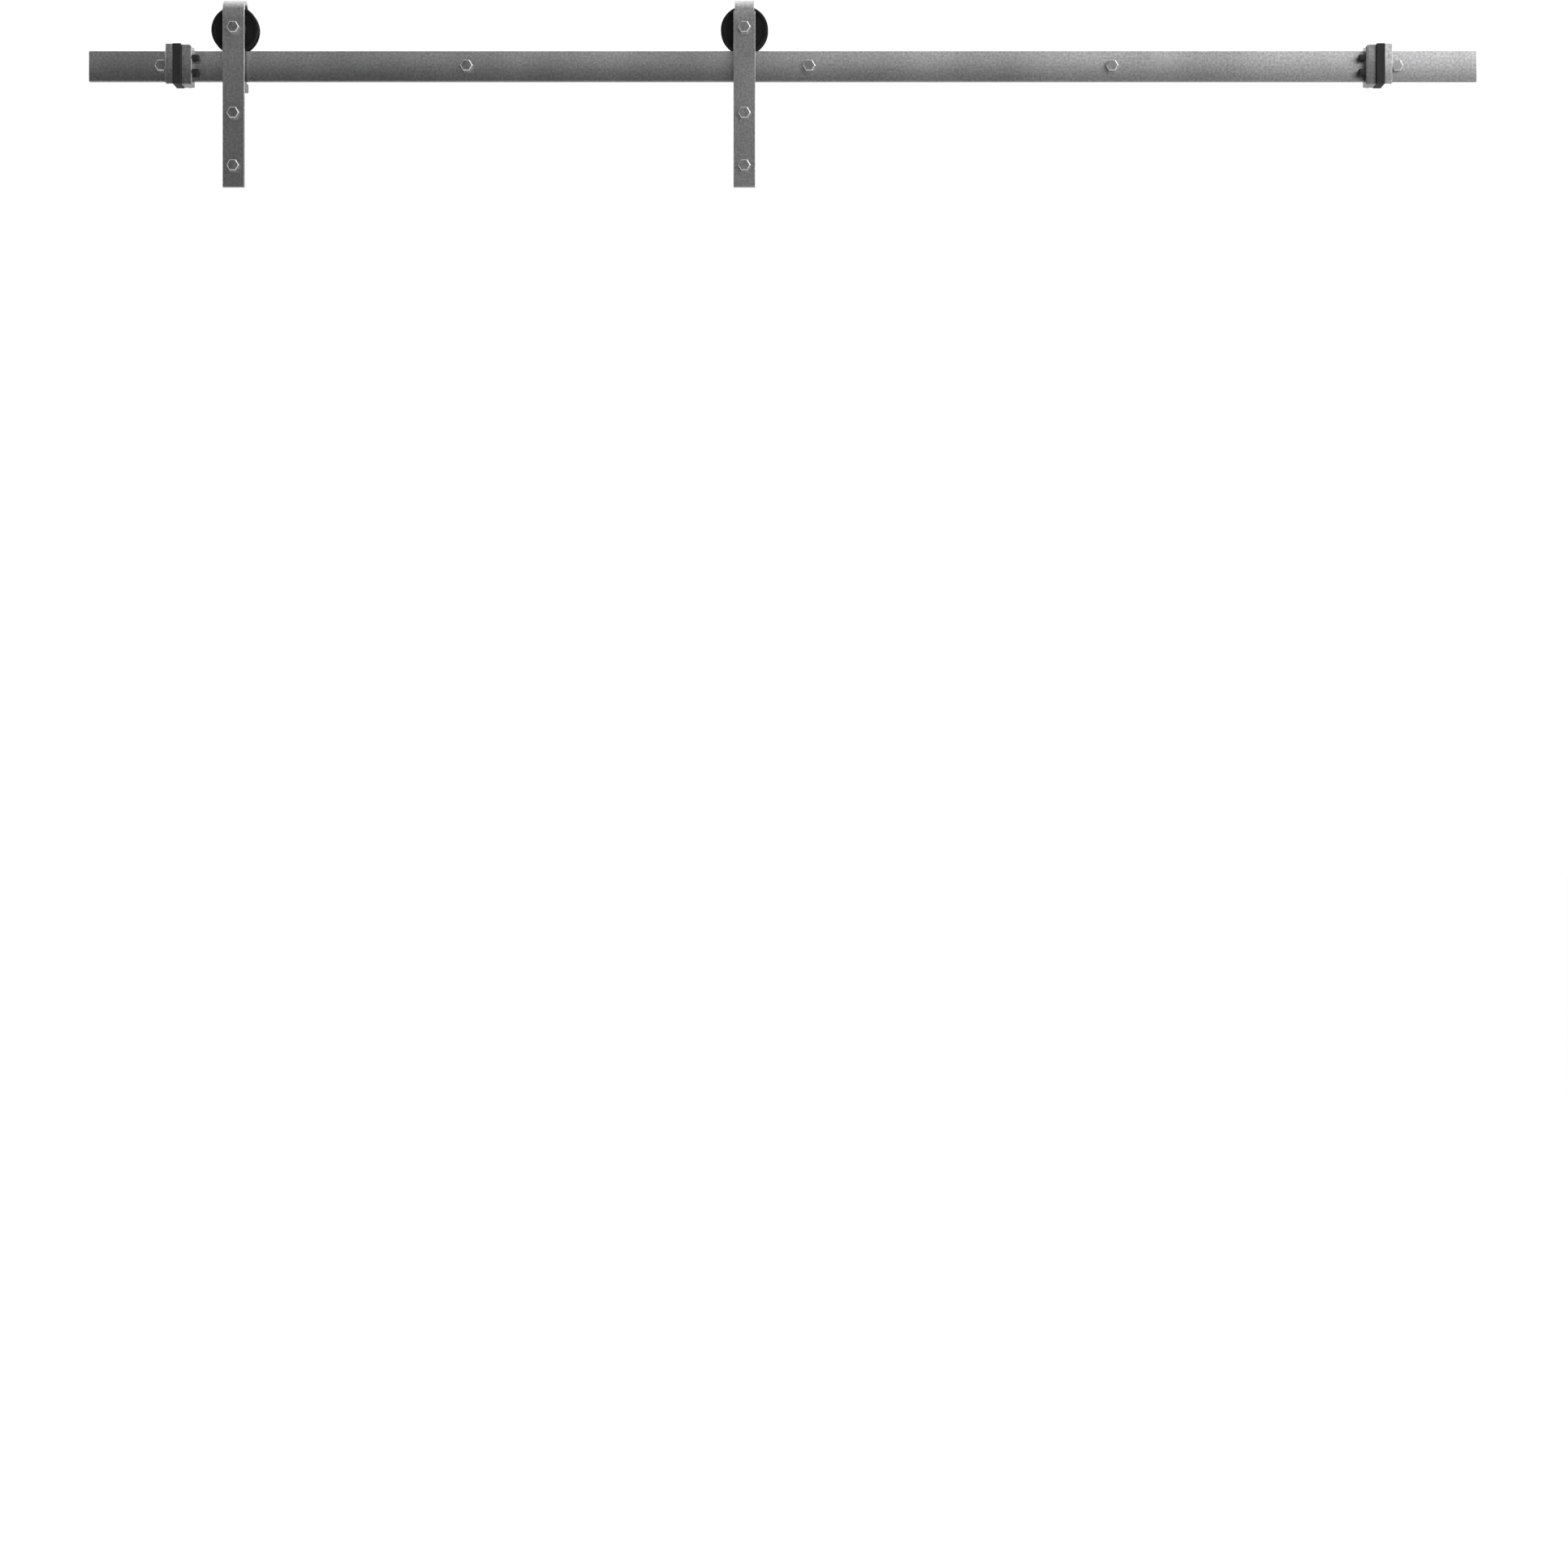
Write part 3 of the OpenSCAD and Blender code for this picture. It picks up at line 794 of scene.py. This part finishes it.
def bent_strap(name, node, thickness, rear_end, narrowing):
    """A rounded rectangle carried along the strap's path, slimmer round the bend."""
    low, high = low_high(node)
    path, normals, insets, bend_z = strap_path(low, high, thickness, rear_end)
    half_width, half_thick = (high[0] - low[0]) / 2, thickness / 2
    section = eased(box_outline((-half_width, -half_thick), (half_width, half_thick)), STRAP_EDGE)
    section_out = outward(section)
    into_bend = np.clip((path[:, 1] - bend_z + SHOULDER_DROP) / SHOULDER_RUN + 0.5, 0, 1)
    slim = 1 - narrowing / half_width * into_bend**2 * (3 - 2 * into_bend)
    shaped = section[None] - insets[:, None, None] * section_out[None]
    grid = np.empty(shaped.shape[:2] + (3,))
    grid[..., 0] = (low[0] + high[0]) / 2 + shaped[..., 0] * slim[:, None]
    grid[..., 1] = path[:, :1] + shaped[..., 1] * normals[:, :1]
    grid[..., 2] = path[:, 1:] + shaped[..., 1] * normals[:, 1:]
    return surface(name, grid)


# %% Straps, drilled for axle and door screws
STRAP_THICKNESS = 5 * MM
REAR_LEG_END = rail_middle[2] + 15 * MM


def door_screw_heights(side):
    """The two heights of a hanger's door screws, from the pattern's centre and spacing."""
    mount = mounts[f"{side}_door_screws"]
    half_spacing = mount["dims"]["spacing_y_mm"] * MM / 2
    return [mount["pos_m"][2] + half_spacing, mount["pos_m"][2] - half_spacing]


for side in SIDES:
    node = f"{side}_strap"
    low, high = low_high(node)
    x = middle(node)[0]
    axle = middle(f"{side}_axle_bolt")
    strap = bent_strap(
        f"{side}_bent_strap", node, STRAP_THICKNESS, REAR_LEG_END, BEND_NARROWING[side],
    )
    drills = [rod("drill", BORE_R, (x, 0, axle[2]), 1, low[1] - MM, high[1] + MM)]
    drills += [
        rod("drill", SCREW_HOLE_R, (x, 0, z), 1, low[1] - MM, low[1] + STRAP_THICKNESS + MM)
        for z in door_screw_heights(side)
    ]
    drilled(strap, [joined("drills", drills)])
    finished(strap, f"{side}_hanger", [node], STRAP_STEEL)
    print(side, "strap", len(strap.data.polygons), "faces")

# %% Door screws
for side in SIDES:
    low, high = low_high(f"{side}_door_screws")
    strap_front = low_high(f"{side}_strap")[0][1]
    x = middle(f"{side}_strap")[0]
    screws = [
        lag_screw(
            "screw", (x, strap_front, z), strap_front - low[1], STRAP_THICKNESS,
            high[1] - strap_front - STRAP_THICKNESS,
        )
        for z in door_screw_heights(side)
    ]
    pair = joined(f"{side}_door_lag_screws", screws)
    finished(pair, f"{side}_hanger", [f"{side}_door_screws"], FASTENER)

# %% [markdown]
# ## Axle bolt and nut
# The axle is a bolt with a machine thread, held by a nut behind the rear leg. The nut is a
# hexagon with a cone on both faces and a bore, so its grid runs out over one face, along the
# flats, in over the other face and back through the bore: a ring in both directions.

# %% Axle bolt and nut
BOLT_PITCH = 1.5875 * MM
BOLT_DEPTH = 0.8 * MM
NUT_BORE_EDGE = 0.6 * MM

for side in SIDES:
    low, high = low_high(f"{side}_axle_bolt")
    strap_low, strap_high = low_high(f"{side}_strap")
    x, z = middle(f"{side}_strap")[0], middle(f"{side}_axle_bolt")[2]
    length = high[1] - strap_low[1]
    plain = strap_high[1] - strap_low[1] - 2 * MM
    rows = head_rows(strap_low[1] - low[1]) + [round_row(SHANK_R, 0), round_row(SHANK_R, plain)]
    rows += thread_rows(SHANK_R, BOLT_DEPTH, BOLT_PITCH, plain + THREAD_START, length)
    bolt = screw_skin(f"{side}_axle_hex_bolt", rows, (x, strap_low[1], z))
    finished(bolt, f"{side}_hanger", [f"{side}_axle_bolt"], FASTENER)

    low, high = low_high(f"{side}_axle_nut")
    height = high[1] - low[1]
    mouth = BORE_R + NUT_BORE_EDGE
    rows = [round_row(BORE_R, -height + NUT_BORE_EDGE), round_row(mouth, -height)]
    faces = crown_rows(height, HEAD_FLATS)[2:]
    rows += faces
    rows += [(radius, -height - distance) for radius, distance in faces[::-1]]
    rows += [round_row(mouth, 0), round_row(BORE_R, -NUT_BORE_EDGE)]
    nut = screw_skin(f"{side}_axle_hex_nut", rows, (x, high[1], z), ring=True)
    finished(nut, f"{side}_hanger", [f"{side}_axle_nut"], FASTENER)
print("bolt", len(bolt.data.polygons), "faces, nut", len(nut.data.polygons), "faces")

# %% [markdown]
# ## The wheel
# The wheel is turned from black nylon. Its outline is drawn once, from the bore over one face to
# the groove and back over the other, with every corner eased, and is spun round the axle. The
# groove's walls lean outwards, so that the wheel centres itself on the rail.

# %% Wheel outline
GROOVE_HALF = 3.75 * MM
GROOVE_FLARE = 0.8 * MM
GROOVE_R = 27.3 * MM
RIM_CHAMFER = 1.3 * MM
HOLLOW_INNER_R = 15.0 * MM
HOLLOW_OUTER_R = 25.0 * MM
HOLLOW_SLOPE = 1.5 * MM
HOLLOW_DEPTH = 1.0 * MM
SHOULDER_R = 9.6 * MM
BEARING_R = 11.1325 * MM
BEARING_HALF = 3.572 * MM


def wheel_outline(wheel_r, half_width):
    """Points (radius, distance) of the front half, then of the rear half in reverse.

    The third number of a point is its corner's radius in millimetres.
    """
    hollow = -half_width + HOLLOW_DEPTH
    front = [
        (BEARING_R, -half_width, 0.3),
        (HOLLOW_INNER_R - HOLLOW_SLOPE, -half_width, 0.6),
        (HOLLOW_INNER_R, hollow, 0.6),
        (HOLLOW_OUTER_R, hollow, 0.6),
        (HOLLOW_OUTER_R + HOLLOW_SLOPE, -half_width, 0.6),
        (wheel_r - RIM_CHAMFER, -half_width, 0.4),
        (wheel_r, -half_width + RIM_CHAMFER, 0.3),
        (wheel_r, -GROOVE_HALF - GROOVE_FLARE, 0.3),
        (GROOVE_R, -GROOVE_HALF, 0.5),
    ]
    rear = [(radius, -distance, ease) for radius, distance, ease in front[:0:-1]]
    bore = [
        (SHOULDER_R, half_width, 0.3),
        (SHOULDER_R, GROOVE_HALF, 0.1),
        (BEARING_R, GROOVE_HALF, 0.1),
    ]
    points = np.array(front + rear + bore)
    return eased(points[:, :2], points[:, 2] * MM, 5)


# %% Wheels
for side in SIDES:
    nodes = [f"{side}_wheel_core", f"{side}_wheel_front_flange", f"{side}_wheel_rear_flange"]
    low, high = low_high(nodes[1])
    half_width = middle(nodes[0])[1] - low[1]
    outline = wheel_outline((high[0] - low[0]) / 2, half_width)
    wheel = turned(f"{side}_grooved_wheel", outline, middle(nodes[0]), around=160)
    finished(wheel, f"{side}_wheel_assembly", nodes, NYLON)
print("wheel", len(wheel.data.polygons), "faces")

# %% [markdown]
# ## The bearing
# A sealed ball bearing sits in the wheel. Each race is a ring with a round groove for the balls,
# the shields are thin pressed discs, and two sleeves hold the inner race in the middle between
# the strap's legs. Most of it is only seen from the side, in the gap under the strap.

# %% Races, balls, shields and sleeves
INNER_RACE_R = 6.55 * MM
OUTER_RACE_R = 9.35 * MM
BALL_R = 1.984 * MM
BALL_COUNT = 7
RACE_GAP = 0.05 * MM
OUTER_R = 11.1125 * MM
BALL_RING_R = (SHANK_R + OUTER_R) / 2
RACE_EASE = 0.2 * MM
SHIELD_STEP = 0.12 * MM
SHIELD_INNER_R = 6.8 * MM
SHIELD_OUTER_R = 9.58 * MM
SHIELD_THICKNESS = 0.4 * MM
SLEEVE_EASE = 0.3 * MM


def grooved_race(back_r, land_r):
    """A race's outline: a back, two sides, and a land with the ball groove's arc in it.

    The arc's half angle is the one at which the groove's circle meets the land.
    """
    reach = abs(BALL_RING_R - land_r)
    radius = BALL_R + RACE_GAP
    half = math.acos(reach / radius)
    turn = np.linspace(-half, half, 13)
    way = np.sign(land_r - BALL_RING_R)
    arc = np.stack([BALL_RING_R + way * radius * np.cos(turn), radius * np.sin(turn)], 1)
    end = BEARING_HALF
    corners = [(land_r, end), (back_r, end), (back_r, -end), (land_r, -end)]
    return np.concatenate([arc, eased(corners, RACE_EASE, 4)])


def ball_set(name, centre):
    """Seven spheres on the ball circle, each a grid of latitude and longitude."""
    latitude = np.linspace(-np.pi / 2, np.pi / 2, 17)
    longitude = np.linspace(0, 2 * np.pi, 32, endpoint=False)
    grid = np.empty((17, 32, 3))
    grid[..., 0] = BALL_R * np.cos(latitude)[:, None] * np.cos(longitude)
    grid[..., 1] = BALL_R * np.cos(latitude)[:, None] * np.sin(longitude)
    grid[..., 2] = BALL_R * np.sin(latitude)[:, None]
    balls = []
    for i in range(BALL_COUNT):
        angle = 2 * math.pi * i / BALL_COUNT
        place = centre + BALL_RING_R * np.array([math.cos(angle), 0, -math.sin(angle)])
        balls.append(surface("ball", grid + place))
    return joined(name, balls)


def shield_outline(low, high, way):
    """A thin disc pressed with one small step outwards near its rim."""
    inner, outer = SHIELD_INNER_R, SHIELD_OUTER_R
    step_r = inner + 0.6 * (outer - inner)
    step = way * SHIELD_STEP
    return np.array([
        (inner, low + step), (step_r, low + step), (step_r + SHIELD_STEP, low), (outer, low),
        (outer, high), (step_r + SHIELD_STEP, high), (step_r, high + step), (inner, high + step),
    ])


for side in SIDES:
    turning, hanging = f"{side}_wheel_assembly", f"{side}_hanger"
    centre = middle(f"{side}_bearing_inner_race")
    inner = turned(f"{side}_inner_race", grooved_race(BORE_R, INNER_RACE_R), centre)
    finished(inner, hanging, [f"{side}_bearing_inner_race"], BEARING)
    outer = turned(f"{side}_outer_race", grooved_race(OUTER_R, OUTER_RACE_R), centre)
    finished(outer, turning, [f"{side}_bearing_outer_race"], BEARING)
    balls = ball_set(f"{side}_balls", centre)
    finished(balls, turning, [f"{side}_bearing_balls"], BEARING)
    low, high = low_high(f"{side}_bearing_shields")
    front, rear = low[1] - centre[1], high[1] - SHIELD_THICKNESS - centre[1]
    shields = joined(f"{side}_shields", [
        turned("shield", shield_outline(start, start + SHIELD_THICKNESS, way), centre)
        for start, way in ((front, -1), (rear, 1))
    ])
    finished(shields, turning, [f"{side}_bearing_shields"], NYLON)
    for end in ("front", "rear"):
        node = f"{side}_axle_{end}_sleeve"
        low, high = low_high(node)
        start, stop = low[1] - centre[1], high[1] - centre[1]
        wall = tube_outline(BORE_R, (high[0] - low[0]) / 2, start, stop, SLEEVE_EASE)
        sleeve = turned(f"{side}_{end}_sleeve_tube", wall, centre)
        finished(sleeve, hanging, [node], TUBE_STEEL)
print("bearings of", BALL_COUNT, "balls")

# %% [markdown]
# ## The anti-jump block
# A small steel block sits under the rail, screwed to the back of the strap, so that the wheel
# can't lift off. It is a slab with a bore, and its screw goes in from behind.

# %% Anti-jump blocks and their screws
BLOCK_SCREW_R = 2.5 * MM
BLOCK_HEAD_R = 4.2 * MM
BLOCK_HEAD_HEIGHT = 2.7 * MM
BLOCK_SINK = 3 * MM
SOCKET_FLATS = 3.0 * MM
SOCKET_DEPTH = 0.55
SOCKET_EDGE = 0.15 * MM
HEAD_RIM = 0.15
SHANK_END_EDGE = 0.4 * MM


def socket_screw(name, origin, head_r, head_height, shank_r, shank):
    """A screw from behind, with a round head and a hexagon socket; 0 is under its head.

    Rows run from the socket's bottom up its six walls, over the head's eased rim and down.
    """
    socket = hexagon(SOCKET_FLATS, 1.0)
    bottom, top = -head_height * (1 - SOCKET_DEPTH), -head_height
    ease = HEAD_RIM * head_r
    rows = [
        round_row(0, bottom),
        (socket * 0.98, np.full(AROUND, bottom)),
        (socket, np.full(AROUND, top + SOCKET_EDGE)),
        (socket + SOCKET_EDGE, np.full(AROUND, top)),
    ]
    for a in np.linspace(0, np.pi / 2, 6):
        rows.append(round_row(head_r - ease * (1 - math.sin(a)), top + ease * (1 - math.cos(a))))
    rows += [
        round_row(head_r, 0),
        round_row(shank_r, 0),
        round_row(shank_r, shank - SHANK_END_EDGE),
        round_row(shank_r - SHANK_END_EDGE, shank),
        round_row(0, shank),
    ]
    return screw_skin(name, rows, origin, way=-1)


for side in SIDES:
    low, high = low_high(f"{side}_anti_jump_block")
    centre = (low + high) / 2
    corners = box_outline((low[0], low[2]), (high[0], high[2]))
    block = slab(f"{side}_keeper_block", corners, 0.8 * MM, 1, low[1], high[1], 0.6 * MM)
    front, rear = low[1] - centre[1], high[1] - centre[1]
    drilled(block, [
        rod("drill", BLOCK_SCREW_R + 0.02 * MM, centre, 1, front - MM, rear + MM),
        rod("drill", BLOCK_HEAD_R + 0.3 * MM, centre, 1, rear - BLOCK_SINK, rear + MM),
    ])
    # Its darker steel paints the shade under the rail.
    finished(block, f"{side}_hanger", [f"{side}_anti_jump_block"], BLOCK_STEEL)
    low, high = low_high(f"{side}_anti_jump_screw")
    origin = (centre[0], high[1] - BLOCK_HEAD_HEIGHT, centre[2])
    shank = high[1] - low[1] - BLOCK_HEAD_HEIGHT
    screw = socket_screw(
        f"{side}_keeper_screw", origin, BLOCK_HEAD_R, BLOCK_HEAD_HEIGHT, BLOCK_SCREW_R, shank,
    )
    finished(screw, f"{side}_hanger", [f"{side}_anti_jump_screw"], FASTENER)

# %% [markdown]
# ## The stops
# A stop is three layers on the rail: a steel body, a rubber band and a steel outer plate, held
# by two long screws along the rail, whose heads carry the rubber buffers. The body is open at
# the back, where a clamp plate closes it, the band goes all the way round the rail, and the
# outer plate lies in front of it, bevelled at the back. Every layer is a slab with its own
# outline. The steel layers have flat chamfers, not rounds, because a chamfer shows as one even
# bright line, and the body's front leans back a little towards the door.

# %% Layers of a stop
SLOT_GAP = 0.15 * MM
BODY_CORNER = (2.2 * MM, 2.8 * MM)
BODY_EDGES = np.array([1.2, 0.6, 0.3, 1.2, 0.3]) * MM
BODY_EDGE_DEPTH = 0.6 * MM
BODY_LEAN = 0.055
BAND_EDGE = 0.35 * MM
PLATE_EDGES = np.array([0.3, 0.3, 1.0, 0.5, 0.3]) * MM
PLATE_LIP = 1.5 * MM
PLATE_BEVEL = np.array([0, 5.5, 0, 0, 5.5]) * MM
PLATE_CORNER = 2 * MM
LAYER_EASE = 0.5 * MM
NOTCH_R = 9.4 * MM
NOTCH_DEPTH = 6.2 * MM


def layer_corners(node, door_way, slope=None, outer_corner=None):
    """A layer's front corners, drawn with +x towards the door and mirrored for the other stop."""
    low, high = low_high(node)
    x = (low[0], high[0]) if door_way > 0 else (-high[0], -low[0])
    z = (low[2], high[2])
    points = [(x[1], z[0]), (x[1], z[1]), (x[0], z[1]), (x[0], z[0])]
    if slope is not None:
        points[1:2] = [(x[1], z[1] - slope[1]), (x[1] - slope[0], z[1])]
    if outer_corner is not None:
        points[-1:] = [(x[0], z[0] + outer_corner), (x[0] + outer_corner, z[0])]
    return [(x * door_way, z) for x, z in points]


def slot_cutter(node, depth):
    """The space of the rail in a layer, with a little room; depth is how far it goes behind."""
    low, high = low_high(node)
    outline = np.array(box_outline(
        (rail_low[1], rail_low[2] - SLOT_GAP), (rail_high[1] + depth, rail_high[2] + SLOT_GAP),
    ))
    grid = np.empty((2, 4, 3))
    grid[0, :, 0], grid[1, :, 0] = low[0] - MM, high[0] + MM
    grid[..., 1:] = outline[None]
    return surface("slot", grid)


def leant_back(piece, start, x, slope):
    """Turn a slab's front by a small angle: a point moves back by slope * its distance from x."""
    points = np.empty(len(piece.data.vertices) * 3)
    piece.data.vertices.foreach_get("co", points)
    points = points.reshape(-1, 3)
    front = points[:, 1] < start + 2 * MM
    points[front, 1] += slope * np.abs(points[front, 0] - x)
    piece.data.vertices.foreach_set("co", points.ravel())


# %% [markdown]
# A buffer is a round rubber cap with a slight neck. Its outline starts at the middle of the nose,
# runs over a quarter round to the side, in and out again at the neck, and back along the screw.

# %% Buffers
BUFFER_NOSE = 1.6 * MM
BUFFER_NECK = 0.35 * MM
BUFFER_FOOT = 0.2 * MM


def buffer_outline(radius, reach):
    """A buffer's outline as (radius, distance from the body's face) points."""
    turn = np.linspace(0, np.pi / 2, 8)
    nose_r = radius - BUFFER_NOSE * (1 - np.sin(turn))
    nose_x = reach - BUFFER_NOSE * (1 - np.cos(turn))
    neck_r = radius - BUFFER_NECK
    return np.concatenate([
        [(0, reach - 0.25 * MM), (radius * 0.35, reach - 0.1 * MM)],
        np.stack([nose_r, nose_x], 1),
        [(radius, reach * 0.45), (neck_r, reach * 0.36), (neck_r, reach * 0.26)],
        [(radius, reach * 0.18), (radius, BUFFER_FOOT), (radius - BUFFER_FOOT, 0), (0, 0)],
    ])


# %% Stops
CLAMP_HEAD = 2.5 * MM
CLAMP_SHANK_R = 2 * MM

for side, door_way, beside in (("left", 1, screw_places[0]), ("right", -1, screw_places[-1])):
    node = f"{side}_stop_body"
    low, high = low_high(node)
    levels = edge_levels(low[1], 1, BODY_EDGES, 2, BODY_EDGE_DEPTH)
    levels += edge_levels(high[1], -1, 0.3 * MM, 2)[::-1]
    outline = layer_corners(node, door_way, slope=BODY_CORNER)
    body = stacked(f"{side}_steel_body", outline, LAYER_EASE, 1, levels)
    leant_back(body, low[1], low[0] if door_way > 0 else high[0], BODY_LEAN)
    drilled(body, [slot_cutter(node, MM)])
    finished(body, "rail_assembly", [node], BODY_STEEL)

    node = f"{side}_stop_band"
    low, high = low_high(node)
    outline = layer_corners(node, door_way)
    band = slab(f"{side}_rubber_band", outline, LAYER_EASE, 1, low[1], high[1], BAND_EDGE)
    drilled(band, [slot_cutter(node, SLOT_GAP)])
    finished(band, "rail_assembly", [node], RUBBER)

    node = f"{side}_stop_plate"
    low, high = low_high(node)
    lip = low[1] + PLATE_LIP
    levels = edge_levels(low[1], 1, PLATE_EDGES, 2) + [
        (lip, 0 * PLATE_BEVEL), (lip + PLATE_BEVEL.max(), PLATE_BEVEL), (high[1], PLATE_BEVEL),
    ]
    outline = layer_corners(node, door_way, outer_corner=PLATE_CORNER)
    plate = stacked(f"{side}_outer_plate", outline, LAYER_EASE, 1, levels)
    drilled(plate, [rod("notch", NOTCH_R, beside, 1, rail_low[1] - NOTCH_DEPTH, rail_low[1] + MM)])
    finished(plate, "rail_assembly", [node], STOP_STEEL)

    node = f"{side}_stop_clamp"
    low, high = low_high(node)
    corners = box_outline((low[0], low[2]), (high[0], high[2]))
    clamp = slab(f"{side}_clamp_plate", corners, 1.2 * MM, 1, low[1], high[1], 0.7 * MM)
    finished(clamp, "rail_assembly", [node], STOP_STEEL)

    low, high = low_high(f"{side}_stop_buffers")
    radius, y = (high[1] - low[1]) / 2, (low[1] + high[1]) / 2
    outline = buffer_outline(radius, high[0] - low[0])
    outline[:, 1] *= door_way
    face_x = low[0] if door_way > 0 else high[0]
    caps = joined(f"{side}_buffer_caps", [
        turned("cap", outline, (face_x, y, z), 0, False, 48)
        for z in (high[2] - radius, low[2] + radius)
    ])
    finished(caps, "rail_assembly", [f"{side}_stop_buffers"], RUBBER)

    low, high = low_high(f"{side}_stop_clamp_screws")
    x, y = (low[0] + high[0]) / 2, high[1] - CLAMP_HEAD
    head_r, shank = (high[0] - low[0]) / 2, y - low[1]
    screws = joined(f"{side}_clamp_socket_screws", [
        socket_screw("screw", (x, y, z), head_r, CLAMP_HEAD, CLAMP_SHANK_R, shank)
        for z in (high[2] - head_r, low[2] + head_r)
    ])
    finished(screws, "rail_assembly", [f"{side}_stop_clamp_screws"], FASTENER)
print("stops done")

# %% [markdown]
# ## Nodes that stay as CAD
# The tie screws run inside the stops, where only a cut would show them, so their CAD solids stay
# and only get the fasteners' finish.

# %% Tie screws
for side in SIDES:
    tie = frame["nodes"][f"{side}_stop_tie_screws"]
    tie.data.materials.clear()
    tie.data.materials.append(FASTENER[1])
